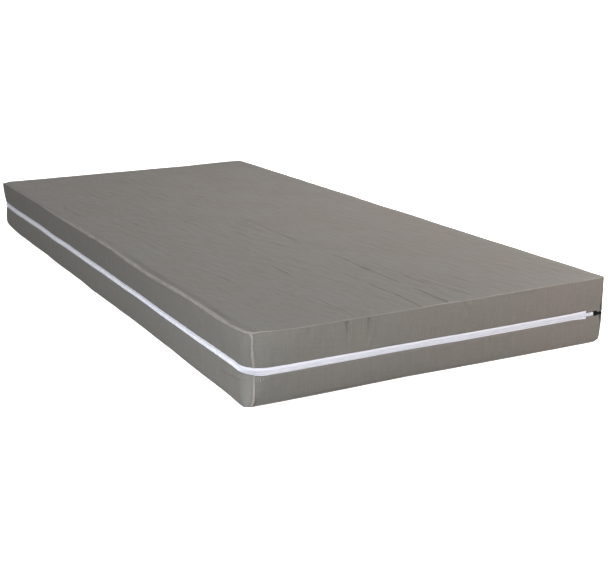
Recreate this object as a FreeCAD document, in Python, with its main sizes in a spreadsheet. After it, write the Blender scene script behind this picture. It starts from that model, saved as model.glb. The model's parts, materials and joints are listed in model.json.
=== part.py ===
import FreeCAD
import Part
import math
import os

import Sketcher
from FreeCAD import Placement, Rotation, Vector

# Pressure relief mattress: a zipped fabric cover round a foam core.
#
# Frame, in millimetres: origin at the centre of the underside, +Z up, +Y from the foot end to the
# head end, +X to the right of a person who lies on the mattress face up. The zip runs along the
# foot, left and head sides. The right side has no zip, so the cover opens there like a book.

DIMENSIONS = [
    ("width", 900, "overall width"),
    ("length", 2000, "overall length"),
    ("height", 150, "overall height"),
    ("corner_radius", 20, "radius of the cover's upright corners, seen from above"),
    ("fabric", 1.5, "thickness of the coated cover fabric, with its coating and take-up"),
    ("edge_seam", 3, "width of the rolled seam round the top and bottom edges"),
    ("edge_round", 2.4, "rounding of that seam"),
    ("corner_seam_width", 3, "width of the upright corner seams"),
    ("corner_seam_proud", 1.2, "how far a corner seam stands out of the cover"),
    ("corner_seam_allowance", 1.5, "how far a corner seam's allowance reaches inside"),
    ("zip_height", 67.5, "height of the zip's centre line, where the cover also folds"),
    ("zip_window", 19, "height of the zip that shows between the borders"),
    ("hem_depth", 8, "depth of the folded hem at each edge of the zip"),
    ("fold_gap", 0.6, "gap between the two halves of the right border at the fold"),
    ("tape_thickness", 0.8, "thickness of the zip tape"),
    ("chain_gap", 1.6, "gap between the two coils"),
    ("coil_width", 2.9, "height of one coil"),
    ("coil_thickness", 2.2, "depth of the coils, in front of the tape"),
    ("zip_end", 38, "from the right side to the last of the zip that opens with the cover"),
    ("zip_stop", 13, "from the right side to the outer end of the zip's stop"),
    ("stop_length", 2.5, "length of a stop"),
    ("part_gap", 0.3, "gap between pieces that slide along each other"),
    ("swing_gap", 1.5, "gap that the opening tape needs at its end, because it swings up"),
    ("garage_end", 12, "length of the closed end of a zip garage"),
    ("garage_lip", 3.5, "how far a garage's lips reach over the tape"),
    ("core_gap", 10, "from the cover's outer face to the foam core"),
    ("core_top_gap", 0.5, "from the foam core to the top fabric"),
    ("core_corner", 15, "radius of the core's upright corners"),
    ("core_edge", 6, "radius of the core's long top edges"),
    ("bolster_width", 80, "width of a firm side bolster"),
    ("base_height", 76.5, "height of the base foam"),
    ("flex_slot_width", 10, "width of a flex slot under the base foam"),
    ("flex_slot_depth", 30, "depth of a flex slot"),
    ("flex_slot_pitch", 80, "distance between flex slots"),
    ("flex_slots", 9, "number of flex slots"),
    ("flex_start", 520, "from the base foam's foot end to its first flex slot"),
    ("groove_width", 6, "width of the grooves between the top foam's blocks"),
    ("groove_depth", 40, "depth of those grooves"),
    ("heel_length", 390, "length of the heel zone"),
    ("leg_length", 560, "length of the leg zone"),
    ("torso_length", 640, "length of the torso zone"),
    ("head_length", 390, "length of the head zone"),
    ("slider_park", 22, "from the right side to the middle of the parked slider"),
    ("slider_length", 12, "length of the slider"),
    ("slider_width", 10.4, "height of the slider"),
    ("slider_corner", 1.6, "corner radius of the slider's plates"),
    ("plate_thickness", 1, "thickness of the slider's plates"),
    ("flange_thickness", 0.8, "thickness of the flanges that hold the coils"),
    ("flange_depth", 2.1, "depth of those flanges"),
    ("slider_back_gap", 0.9, "from the tape to the slider's back plate, for the bend into the corner"),
    ("neck_length", 2, "length of the neck between the slider's plates"),
    ("neck_width", 1.2, "width of that neck"),
    ("neck_offset", 4.5, "from the slider's middle to the middle of its neck"),
    ("bridge_length", 6.4, "length of the bridge that holds the pull tab"),
    ("bridge_width", 2.2, "width of the bridge"),
    ("bridge_height", 2.7, "how far the bridge stands out of the front plate"),
    ("bridge_slot", 3.8, "length of the slot under the bridge"),
    ("bridge_arch", 0.8, "thickness of the bridge over its slot"),
    ("pull_pin_radius", 0.55, "radius of the pull tab's cross bar"),
    ("pull_pin_height", 1.1, "from the front plate to the cross bar's centre"),
    ("pull_thickness", 1.2, "thickness of the pull tab"),
    ("pull_arm_inner", 1.5, "from the pull tab's centre line to the inside of an arm"),
    ("pull_arm_width", 1.4, "width of an arm"),
    ("pull_arm_length", 6, "length of an arm, with what lies along the plate"),
    ("pull_arm_tail", 0.7, "how far an arm reaches behind the cross bar"),
    ("pull_plate_start", 4, "from the cross bar to the pull tab's plate"),
    ("pull_plate_length", 13, "length of the pull tab's plate"),
    ("pull_plate_width", 7, "width of the pull tab's plate"),
    ("pull_plate_corner", 1.5, "corner radius of the pull tab's plate"),
]

doc = FreeCAD.newDocument("mattress")
sheet = doc.addObject("Spreadsheet::Sheet", "dims")
sheet.Label = "dims"
for row, (alias, size, meaning) in enumerate(DIMENSIONS, 1):
    sheet.set(f"A{row}", meaning)
    sheet.set(f"B{row}", str(size))
    sheet.setAlias(f"B{row}", alias)
doc.recompute()
workings = doc.addObject("Spreadsheet::Sheet", "workings")

# Levels and places that several pieces share, as expressions on the sheet's cells.
WINDOW_LOW = "(dims.zip_height - dims.zip_window / 2)"
WINDOW_HIGH = "(dims.zip_height + dims.zip_window / 2)"
FOLD_LOW = "(dims.zip_height - dims.fold_gap / 2)"
FOLD_HIGH = "(dims.zip_height + dims.fold_gap / 2)"
COIL_NEAR = "(dims.chain_gap / 2)"
COIL_LOW = "(dims.zip_height - dims.chain_gap / 2 - dims.coil_width)"
COIL_HIGH = "(dims.zip_height + dims.chain_gap / 2 + dims.coil_width)"
TAPE_OUTER = "(2 * dims.fabric)"
TAPE_INNER = "(2 * dims.fabric + dims.tape_thickness)"
COIL_OUTER = "(2 * dims.fabric - dims.coil_thickness)"
RIGHT_SIDE = "(dims.width / 2)"
COIL_FACE_Y = f"(-dims.length / 2 + {COIL_OUTER})"
FRONT_PLATE_Y = f"({COIL_FACE_Y} - dims.part_gap)"
FRONT_FACE_Y = f"({FRONT_PLATE_Y} - dims.plate_thickness)"
TAPE_BACK_Y = f"(-dims.length / 2 + {TAPE_INNER})"
SLIDER_X = f"({RIGHT_SIDE} - dims.slider_park)"
PULL_PIN_Y = f"({FRONT_FACE_Y} - dims.pull_pin_height)"
CORE_TOP = "(dims.height - dims.fabric - dims.core_top_gap)"
CORE_HALF_WIDTH = "(dims.width / 2 - dims.core_gap)"
CORE_HALF_LENGTH = "(dims.length / 2 - dims.core_gap)"
INNER_HALF_WIDTH = f"({CORE_HALF_WIDTH} - dims.bolster_width)"
ANY_Y = ("-dims.length", "dims.length")
ANY_Z = ("0", "dims.height")

# For each side: the turn about Z that carries the foot side there, its distance from the origin,
# and half its length.
SIDES = {
    "foot": (0, "dims.length / 2", "dims.width / 2"),
    "head": (180, "dims.length / 2", "dims.width / 2"),
    "left": (-90, "dims.width / 2", "dims.length / 2"),
    "right": (90, "dims.width / 2", "dims.length / 2"),
}
# The top foam's zones from foot to head: name, length, blocks across and blocks down.
ZONES = [
    ("heel", "dims.heel_length", 10, 6),
    ("leg", "dims.leg_length", 6, 5),
    ("torso", "dims.torso_length", 8, 8),
    ("head", "dims.head_length", 6, 3),
]
# For each upright corner: the signs of its X and Y.
CORNERS = {"foot_left": (-1, -1), "foot_right": (1, -1), "head_left": (-1, 1), "head_right": (1, 1)}

NEAR = 1e-6  # lengths closer than this are the same

pieces = {}


def value(expression):
    """The number that an expression gives now, worked out in a sheet of its own."""
    workings.set("A1", "=" + expression)
    workings.recompute()
    return float(workings.get("A1"))


def piece(label, thing):
    """Registers a finished sub-part under the name that its file gets."""
    thing.Label = label
    pieces[label] = thing
    return thing


def place(thing, **axes):
    """Binds a thing's position to expressions, such as place(box, x="...", z="...")."""
    for axis, expression in axes.items():
        thing.setExpression(f"Placement.Base.{axis}", expression)
    return thing


def plane_of(body, role):
    return next(f for f in body.Origin.OriginFeatures if f.Role == role)


def new_sketch(body, role="XY_Plane", offset=None):
    """A sketch on one of the body's own origin planes, moved along its normal by `offset`."""
    sketch = body.newObject("Sketcher::SketchObject", "sketch")
    sketch.AttachmentSupport = [(plane_of(body, role), "")]
    sketch.MapMode = "FlatFace"
    if offset:
        sketch.setExpression("AttachmentOffset.Base.z", offset)
    return sketch


def bind(sketch, kind, *arguments):
    """Adds a dimension whose last argument is an expression, and binds it to that."""
    *where, expression = arguments
    index = sketch.addConstraint(Sketcher.Constraint(kind, *where, value(expression)))
    sketch.setExpression(f"Constraints[{index}]", expression)


def add_rectangle(sketch, left, right, bottom, top):
    """A rectangle, from how far it reaches to the left, right, bottom and top of the origin."""
    x0, x1, y0, y1 = -value(left), value(right), -value(bottom), value(top)
    corners = [Vector(x0, y0), Vector(x1, y0), Vector(x1, y1), Vector(x0, y1)]
    first = sketch.GeometryCount
    for start, end in zip(corners, corners[1:] + corners[:1]):
        sketch.addGeometry(Part.LineSegment(start, end), False)
    for i in range(4):
        sketch.addConstraint(Sketcher.Constraint("Coincident", first + i, 2, first + (i + 1) % 4, 1))
        sketch.addConstraint(Sketcher.Constraint("Vertical" if i % 2 else "Horizontal", first + i))
    bind(sketch, "DistanceX", -1, 1, first + 1, 1, right)
    bind(sketch, "DistanceX", first + 3, 1, -1, 1, left)
    bind(sketch, "DistanceY", -1, 1, first + 2, 1, top)
    bind(sketch, "DistanceY", first, 1, -1, 1, bottom)


def add_rounded_rectangle(sketch, half_x, half_y, radius):
    """A rectangle with round corners, centred on the origin, from three expressions."""
    x, y, r = value(half_x), value(half_y), value(radius)
    ends = [
        (Vector(-x + r, -y), Vector(x - r, -y)),
        (Vector(x, -y + r), Vector(x, y - r)),
        (Vector(x - r, y), Vector(-x + r, y)),
        (Vector(-x, y - r), Vector(-x, -y + r)),
    ]
    centres = [Vector(x - r, -y + r), Vector(x - r, y - r), Vector(-x + r, y - r), Vector(-x + r, -y + r)]
    first = sketch.GeometryCount
    for i in range(4):
        sketch.addGeometry(Part.LineSegment(*ends[i]), False)
        circle = Part.Circle(centres[i], Vector(0, 0, 1), r)
        start = (i - 1) * math.pi / 2
        sketch.addGeometry(Part.ArcOfCircle(circle, start, start + math.pi / 2), False)
    for i in range(4):
        line, arc, following = first + 2 * i, first + 2 * i + 1, first + 2 * ((i + 1) % 4)
        sketch.addConstraint(Sketcher.Constraint("Tangent", line, 2, arc, 1))
        sketch.addConstraint(Sketcher.Constraint("Tangent", arc, 2, following, 1))
        sketch.addConstraint(Sketcher.Constraint("Vertical" if i % 2 else "Horizontal", line))
        if i:
            sketch.addConstraint(Sketcher.Constraint("Equal", first + 1, arc))
    bind(sketch, "Radius", first + 1, radius)
    bind(sketch, "DistanceX", -1, 1, first + 2, 1, half_x)
    bind(sketch, "DistanceX", first + 6, 1, -1, 1, half_x)
    bind(sketch, "DistanceY", -1, 1, first + 4, 1, half_y)
    bind(sketch, "DistanceY", first, 1, -1, 1, half_y)


def add_outline(sketch, inset):
    """The mattress's outline seen from above, moved in by an expression."""
    add_rounded_rectangle(
        sketch,
        f"dims.width / 2 - {inset}",
        f"dims.length / 2 - {inset}",
        f"dims.corner_radius - {inset}",
    )


def pad(body, sketch, length):
    feature = body.newObject("PartDesign::Pad", "pad")
    feature.Profile = sketch
    feature.setExpression("Length", length)
    return feature


def pocket(body, sketch, length, upwards=False):
    feature = body.newObject("PartDesign::Pocket", "pocket")
    feature.Profile = sketch
    feature.setExpression("Length", length)
    feature.Reversed = upwards
    return feature


def repeat(body, feature, axis_role, length, count):
    """A linear pattern of a feature over a whole length, which becomes the body's tip."""
    pattern = body.newObject("PartDesign::LinearPattern", "pattern")
    pattern.Originals = [feature]
    pattern.Direction = (plane_of(body, axis_role), [""])
    pattern.setExpression("Length", length)
    pattern.setExpression("Occurrences", count)
    body.Tip = pattern
    return pattern


def fillet_edges(body, base, radius, wanted):
    """Rounds the edges of a feature that `wanted` picks by the edge's shape."""
    doc.recompute()
    names = [f"Edge{i}" for i, edge in enumerate(base.Shape.Edges, 1) if wanted(edge)]
    feature = body.newObject("PartDesign::Fillet", "fillet")
    feature.Base = (base, names)
    feature.setExpression("Radius", radius)
    body.Tip = feature
    return feature


def new_body(name):
    return doc.addObject("PartDesign::Body", name)


def ring(name, outer, inner, low, high):
    """A band round all four sides between two insets, from one level to another."""
    body = new_body(name)
    sketch = new_sketch(body)
    add_outline(sketch, outer)
    add_outline(sketch, inner)
    pad(body, sketch, f"{high} - {low}")
    return place(body, z=low)


def slab(name, inset, low, high):
    """A full sheet inside an inset, from one level to another."""
    body = new_body(name)
    sketch = new_sketch(body)
    add_outline(sketch, inset)
    pad(body, sketch, f"{high} - {low}")
    return place(body, z=low)


def box(name, x, y, z):
    """A block between two expressions along each axis."""
    thing = doc.addObject("Part::Box", name)
    for prop, (low, high) in (("Length", x), ("Width", y), ("Height", z)):
        thing.setExpression(prop, f"{high} - {low}")
    return place(thing, x=x[0], y=y[0], z=z[0])


def fused(name, *things):
    thing = doc.addObject("Part::MultiFuse", name)
    thing.Shapes = list(things)
    return thing


def common(name, *things):
    thing = doc.addObject("Part::MultiCommon", name)
    thing.Shapes = list(things)
    return thing


def side_wedge(side):
    """The space of one side, mitred at its corners and short of the corner seams."""
    turn, distance, half = SIDES[side]
    depth = "(3 * dims.corner_radius)"
    end = f"({half} - dims.corner_seam_width * sqrt(2) / 2)"
    wedge = doc.addObject("Part::Wedge", f"wedge_{side}")
    limits = {
        "Xmin": f"-{end}",
        "Xmax": end,
        "X2min": f"-({end} - {depth})",
        "X2max": f"{end} - {depth}",
        "Ymin": f"-{distance}",
        "Ymax": f"-{distance} + {depth}",
        "Zmin": "0",
        "Zmax": "dims.height",
        "Z2min": "0",
        "Z2max": "dims.height",
    }
    for prop, expression in limits.items():
        wedge.setExpression(prop, expression)
    wedge.Placement = Placement(Vector(), Rotation(Vector(0, 0, 1), turn))
    return wedge


def corner_seam(label, corner, low, high):
    """An upright seam: a rib with a round outer edge, and its allowance inside the cover."""
    sign_x, sign_y = CORNERS[corner]
    body = new_body(label)
    sketch = new_sketch(body)
    reach = "(dims.corner_radius + dims.corner_seam_proud)"
    add_rectangle(
        sketch,
        "-(dims.corner_radius - dims.fabric - dims.corner_seam_allowance)",
        reach,
        "dims.corner_seam_width / 2",
        "dims.corner_seam_width / 2",
    )
    rib = pad(body, sketch, f"{high} - {low}")
    tip_x = value(reach)

    def is_outer_upright(edge):
        bounds = edge.BoundBox
        return abs(bounds.XMin - tip_x) < NEAR and abs(bounds.XMax - tip_x) < NEAR and bounds.YLength < NEAR

    fillet_edges(body, rib, "dims.corner_seam_width * 0.45", is_outer_upright)
    direction = Vector(sign_x, sign_y, 0)
    body.Placement = Placement(Vector(), Rotation(Vector(1, 0, 0), direction))
    place(
        body,
        x=f"{sign_x} * (dims.width / 2 - dims.corner_radius)",
        y=f"{sign_y} * (dims.length / 2 - dims.corner_radius)",
        z=low,
    )
    return piece(label, body)


def edge_seam(label, low, rounded_high):
    """The rolled seam between a sheet and its borders, rounded on its outer edge."""
    body = ring(label, "0", "dims.edge_seam", low, f"({low} + dims.edge_seam)")
    level = value("dims.edge_seam") if rounded_high else 0
    inner_x = value("dims.width / 2 - dims.edge_seam")
    inner_y = value("dims.length / 2 - dims.edge_seam")

    def is_on_outer_rim(edge):
        bounds = edge.BoundBox
        at_level = abs(bounds.ZMin - level) < NEAR and abs(bounds.ZMax - level) < NEAR
        beside = max(-bounds.XMin, bounds.XMax) > inner_x + NEAR
        beyond = max(-bounds.YMin, bounds.YMax) > inner_y + NEAR
        return at_level and (beside or beyond)

    fillet_edges(body, body.Tip, "dims.edge_round", is_on_outer_rim)
    return piece(label, body)


def build_cover_sheets():
    """The top and bottom sheets, with the rolled seams round them."""
    piece("bottom_sheet", slab("bottom_sheet", "dims.edge_seam", "0", "dims.fabric"))
    piece("top_sheet", slab("top_sheet", "dims.edge_seam", "(dims.height - dims.fabric)", "dims.height"))
    edge_seam("bottom_edge_seam", "0", False)
    edge_seam("top_edge_seam", "(dims.height - dims.edge_seam)", True)


def build_borders():
    """The strips round the sides: hemmed at the zip, and plain at the right side's fold."""
    wedges = {side: side_wedge(side) for side in SIDES}
    bands = {
        "lower": fused(
            "lower_band",
            ring("lower_outer", "0", "dims.fabric", "dims.edge_seam", WINDOW_LOW),
            ring("lower_hem", "dims.fabric", TAPE_OUTER, f"({WINDOW_LOW} - dims.hem_depth)", WINDOW_LOW),
        ),
        "upper": fused(
            "upper_band",
            ring("upper_outer", "0", "dims.fabric", WINDOW_HIGH, "(dims.height - dims.edge_seam)"),
            ring("upper_hem", "dims.fabric", TAPE_OUTER, WINDOW_HIGH, f"({WINDOW_HIGH} + dims.hem_depth)"),
        ),
    }
    for level, band in bands.items():
        for side in ("foot", "head", "left"):
            label = f"{level}_border_{side}"
            piece(label, common(label, band, wedges[side]))
    folds = {
        "lower": ring("lower_fold", "0", "dims.fabric", "dims.edge_seam", FOLD_LOW),
        "upper": ring("upper_fold", "0", "dims.fabric", FOLD_HIGH, "(dims.height - dims.edge_seam)"),
    }
    for level, band in folds.items():
        label = f"{level}_border_right"
        piece(label, common(label, band, wedges["right"]))
    for corner in CORNERS:
        at_fold = corner.endswith("right")
        corner_seam(f"lower_seam_{corner}", corner, "dims.edge_seam", FOLD_LOW if at_fold else WINDOW_LOW)
        high = "(dims.height - dims.edge_seam)"
        corner_seam(f"upper_seam_{corner}", corner, FOLD_HIGH if at_fold else WINDOW_HIGH, high)
    build_garages(wedges)


def build_garages(wedges):
    """The fabric facings at the zip's two ends. Each has a lip over the tape's margin and a closed
    end that joins the corner."""
    lip_levels = {
        "lower": (WINDOW_LOW, f"({WINDOW_LOW} + dims.garage_lip)"),
        "upper": (f"({WINDOW_HIGH} - dims.garage_lip)", WINDOW_HIGH),
    }
    end_levels = {"lower": (WINDOW_LOW, FOLD_LOW), "upper": (FOLD_HIGH, WINDOW_HIGH)}
    lip_x = (f"({RIGHT_SIDE} - dims.zip_end)", RIGHT_SIDE)
    end_x = (f"({RIGHT_SIDE} - dims.garage_end)", RIGHT_SIDE)
    for level in ("lower", "upper"):
        lip_ring = ring(f"lip_ring_{level}", "0", "dims.fabric", *lip_levels[level])
        end_ring = ring(f"end_ring_{level}", "0", "dims.fabric", *end_levels[level])
        lip = common(f"lip_{level}", lip_ring, box(f"lip_space_{level}", lip_x, ANY_Y, ANY_Z))
        end = common(f"end_{level}", end_ring, box(f"end_space_{level}", end_x, ANY_Y, ANY_Z))
        facing = fused(f"facing_{level}", lip, end)
        for side in ("foot", "head"):
            label = f"{level}_zip_garage_{side}"
            piece(label, common(label, facing, wedges[side]))


def build_zip():
    """The tapes and coils. Beside each stop a short length of the upper tape and coil stays with the
    lower ones when the cover opens, because the stop holds the two coils together there."""
    stop_start = f"({RIGHT_SIDE} - dims.zip_stop - dims.stop_length)"
    zip_end = f"({RIGHT_SIDE} - dims.zip_end)"
    lower_edge = f"(dims.zip_height - {COIL_NEAR})"
    upper_edge = f"(dims.zip_height + {COIL_NEAR})"
    tape_low = f"({WINDOW_LOW} - dims.hem_depth)"
    tape_high = f"({WINDOW_HIGH} + dims.hem_depth)"
    chains = {
        "lower_zip_tape": ring("lower_tape_ring", TAPE_OUTER, TAPE_INNER, tape_low, lower_edge),
        "upper_zip_tape": ring("upper_tape_ring", TAPE_OUTER, TAPE_INNER, upper_edge, tape_high),
        "lower_zip_coil": ring("lower_coil_ring", COIL_OUTER, TAPE_OUTER, COIL_LOW, lower_edge),
        "upper_zip_coil": ring("upper_coil_ring", COIL_OUTER, TAPE_OUTER, upper_edge, COIL_HIGH),
    }
    whole_run = box("whole_run", ("-dims.width", stop_start), ANY_Y, ANY_Z)
    opening_run = box("opening_run", ("-dims.width", zip_end), ANY_Y, ANY_Z)
    for label, chain in chains.items():
        run = whole_run if label.startswith("lower") else opening_run
        piece(label, common(label, chain, run))

    held_x = (f"({zip_end} + dims.swing_gap)", stop_start)
    held_z = (upper_edge, f"({WINDOW_HIGH} - 2 * dims.part_gap)")
    for side, half in {"foot": ("-dims.length", "0"), "head": ("0", "dims.length")}.items():
        held = box(f"held_{side}", held_x, half, held_z)
        for strip in ("tape", "coil"):
            label = f"upper_{strip}_end_{side}"
            piece(label, common(label, chains[f"upper_zip_{strip}"], held))


def build_stops():
    """The two stops. Each clamps both coils, at the outer end of the zip on its side."""
    outer = f"(dims.length / 2 - {COIL_OUTER})"
    inner = f"(dims.length / 2 - {TAPE_INNER})"
    stop_x = (
        f"({RIGHT_SIDE} - dims.zip_stop - dims.stop_length)",
        f"({RIGHT_SIDE} - dims.zip_stop)",
    )
    stop_z = (f"({COIL_LOW} - dims.flange_thickness)", f"({COIL_HIGH} + dims.flange_thickness)")
    piece("zip_stop_foot", box("zip_stop_foot", stop_x, (f"-{outer}", f"-{inner}"), stop_z))
    piece("zip_stop_head", box("zip_stop_head", stop_x, (inner, outer), stop_z))


def castellated_zone(label, start, length, across, down):
    """Top foam cut from above into a grid of blocks, `across` of them over the width."""
    body = new_body(label)
    half_x, half_y = INNER_HALF_WIDTH, f"({length} / 2)"
    thickness = f"({CORE_TOP} - dims.fabric - dims.base_height)"
    outline = new_sketch(body)
    add_rectangle(outline, half_x, half_x, half_y, half_y)
    block = pad(body, outline, thickness)
    for axis, count, run, cross in (("X_Axis", across, half_x, half_y), ("Y_Axis", down, half_y, half_x)):
        pitch = f"(2 * {run} / {count})"
        groove = new_sketch(body, offset=thickness)
        low = f"({run} - {pitch} + dims.groove_width / 2)"
        high = f"-({run} - {pitch} - dims.groove_width / 2)"
        if axis == "X_Axis":
            add_rectangle(groove, low, high, cross, cross)
        else:
            add_rectangle(groove, cross, cross, low, high)
        cut = pocket(body, groove, "dims.groove_depth")
        repeat(body, cut, axis, f"2 * {run} - 2 * {pitch}", f"{count} - 1")
    doc.recompute()
    assert body.Shape.Volume < block.Shape.Volume * 0.98, f"{label}: the grooves cut nothing"
    place(body, y=f"-{CORE_HALF_LENGTH} + {start} + {half_y}", z="dims.fabric + dims.base_height")
    return piece(label, body)


def build_core():
    """The foam core: a base with flex slots, firm side bolsters and four zones of top foam."""
    base = new_body("base_foam")
    outline = new_sketch(base)
    add_rectangle(outline, INNER_HALF_WIDTH, INNER_HALF_WIDTH, CORE_HALF_LENGTH, CORE_HALF_LENGTH)
    block = pad(base, outline, "dims.base_height")
    slot = new_sketch(base)
    nearest = f"({CORE_HALF_LENGTH} - dims.flex_start)"
    add_rectangle(slot, INNER_HALF_WIDTH, INNER_HALF_WIDTH, nearest, f"-({nearest} - dims.flex_slot_width)")
    cut = pocket(base, slot, "dims.flex_slot_depth", upwards=True)
    repeat(base, cut, "Y_Axis", "(dims.flex_slots - 1) * dims.flex_slot_pitch", "dims.flex_slots")
    doc.recompute()
    assert base.Shape.Volume < block.Shape.Volume * 0.99, "the flex slots cut nothing"
    piece("base_foam", place(base, z="dims.fabric"))

    for side, sign in (("left", -1), ("right", 1)):
        bolster = new_body(f"bolster_{side}")
        outline = new_sketch(bolster)
        half = "(dims.bolster_width / 2)"
        add_rectangle(outline, half, half, CORE_HALF_LENGTH, CORE_HALF_LENGTH)
        block = pad(bolster, outline, f"{CORE_TOP} - dims.fabric")
        outer_x = value(half)
        top = value(f"{CORE_TOP} - dims.fabric")

        def reach(edge):
            """How far the edge reaches towards the mattress's side, at its nearest and furthest."""
            return sorted((sign * edge.BoundBox.XMin, sign * edge.BoundBox.XMax))

        def is_outer_upright(edge):
            return reach(edge)[0] > outer_x - NEAR and edge.BoundBox.YLength < NEAR

        def is_outer_top(edge):
            return reach(edge)[1] > outer_x - NEAR and edge.BoundBox.ZMin > top - NEAR

        rounded = fillet_edges(bolster, block, "dims.core_corner", is_outer_upright)
        fillet_edges(bolster, rounded, "dims.core_edge", is_outer_top)
        x = f"{sign} * ({CORE_HALF_WIDTH} - dims.bolster_width / 2)"
        piece(f"side_bolster_{side}", place(bolster, x=x, z="dims.fabric"))

    start = "0"
    for name, length, across, down in ZONES:
        castellated_zone(f"{name}_zone_foam", start, length, across, down)
        start = f"({start} + {length})"


def slider_plate(name, face_y):
    """A rounded plate of the slider, whose inner face is at one Y and which grows towards -Y."""
    body = new_body(name)
    outline = new_sketch(body, "XZ_Plane")
    add_rounded_rectangle(outline, "dims.slider_length / 2", "dims.slider_width / 2", "dims.slider_corner")
    pad(body, outline, "dims.plate_thickness")
    return place(body, x=SLIDER_X, y=face_y, z="dims.zip_height")


def build_slider():
    """The slider in one casting: two plates, a neck between the coils, flanges and a bridge."""
    back_y = f"({TAPE_BACK_Y} + dims.slider_back_gap)"
    front = slider_plate("front_plate", FRONT_PLATE_Y)
    back = slider_plate("back_plate", f"({back_y} + dims.plate_thickness)")
    neck_x = f"({SLIDER_X} + dims.neck_offset)"
    neck = box(
        "neck",
        (f"({neck_x} - dims.neck_length / 2)", f"({neck_x} + dims.neck_length / 2)"),
        (FRONT_PLATE_Y, back_y),
        ("(dims.zip_height - dims.neck_width / 2)", "(dims.zip_height + dims.neck_width / 2)"),
    )
    flat = "(dims.slider_length / 2 - dims.slider_corner)"
    flange_x = (f"({SLIDER_X} - {flat})", f"({SLIDER_X} + {flat})")
    flange_y = (FRONT_PLATE_Y, f"({FRONT_PLATE_Y} + dims.flange_depth)")
    outer = "dims.slider_width / 2"
    inner = "(dims.slider_width / 2 - dims.flange_thickness)"
    lower_z = (f"(dims.zip_height - {outer})", f"(dims.zip_height - {inner})")
    upper_z = (f"(dims.zip_height + {inner})", f"(dims.zip_height + {outer})")
    lower = box("lower_flange", flange_x, flange_y, lower_z)
    upper = box("upper_flange", flange_x, flange_y, upper_z)
    bridge = box(
        "bridge",
        (f"({SLIDER_X} - dims.bridge_length / 2)", f"({SLIDER_X} + dims.bridge_length / 2)"),
        (f"({FRONT_FACE_Y} - dims.bridge_height)", FRONT_FACE_Y),
        ("(dims.zip_height - dims.bridge_width / 2)", "(dims.zip_height + dims.bridge_width / 2)"),
    )
    slot = box(
        "bridge_slot",
        (f"({SLIDER_X} - dims.bridge_slot / 2)", f"({SLIDER_X} + dims.bridge_slot / 2)"),
        (f"({FRONT_FACE_Y} - dims.bridge_height + dims.bridge_arch)", FRONT_FACE_Y),
        ("(dims.zip_height - dims.bridge_width)", "(dims.zip_height + dims.bridge_width)"),
    )
    casting = fused("casting", front, back, neck, lower, upper, bridge)
    slider = doc.addObject("Part::Cut", "zip_slider")
    slider.Base, slider.Tool = casting, slot
    piece("zip_slider", slider)


def build_pull_tab():
    """The pull tab: a plate, two arms past the bridge and a round cross bar in the bridge's slot."""
    half_y = "(dims.pull_thickness / 2)"
    plate = new_body("pull_plate")
    outline = new_sketch(plate, "XZ_Plane")
    half_length = "(dims.pull_plate_length / 2)"
    add_rounded_rectangle(outline, half_length, "dims.pull_plate_width / 2", "dims.pull_plate_corner")
    pad(plate, outline, "dims.pull_thickness")
    place(
        plate,
        x=f"{SLIDER_X} + dims.pull_plate_start + {half_length}",
        y=f"{PULL_PIN_Y} + {half_y}",
        z="dims.zip_height",
    )
    arm_start = f"({SLIDER_X} - dims.pull_arm_tail)"
    arm_x = (arm_start, f"({arm_start} + dims.pull_arm_length)")
    arm_y = (f"({PULL_PIN_Y} - {half_y})", f"({PULL_PIN_Y} + {half_y})")
    near = "dims.pull_arm_inner"
    far = "(dims.pull_arm_inner + dims.pull_arm_width)"
    lower = box("lower_arm", arm_x, arm_y, (f"(dims.zip_height - {far})", f"(dims.zip_height - {near})"))
    upper = box("upper_arm", arm_x, arm_y, (f"(dims.zip_height + {near})", f"(dims.zip_height + {far})"))
    bar = doc.addObject("Part::Cylinder", "cross_bar")
    bar.setExpression("Radius", "dims.pull_pin_radius")
    bar.setExpression("Height", f"2 * {far} - dims.pull_arm_width")
    place(bar, x=SLIDER_X, y=PULL_PIN_Y, z=f"dims.zip_height - {far} + dims.pull_arm_width / 2")
    piece("pull_tab", fused("pull_tab", plate, lower, upper, bar))


def check_document():
    """Stops if any object failed to build, or if any sub-part isn't a valid solid."""
    failed = [o.Label for o in doc.Objects if {"Invalid", "Error"} & set(o.State)]
    assert not failed, f"objects that failed: {failed}"
    for label, thing in pieces.items():
        shape = thing.Shape
        assert not shape.isNull() and shape.isValid() and shape.Solids, f"{label} isn't a valid solid"


build_cover_sheets()
build_borders()
build_zip()
build_stops()
build_core()
build_slider()
build_pull_tab()
doc.recompute()
check_document()
os.makedirs("parts", exist_ok=True)
for label, thing in pieces.items():
    thing.Shape.exportStep(f"parts/{label}.step")
print(f"{len(pieces)} sub-parts written")
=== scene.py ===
import json
import math

import bmesh
import bpy
import numpy as np
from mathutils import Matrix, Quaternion, Vector

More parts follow.
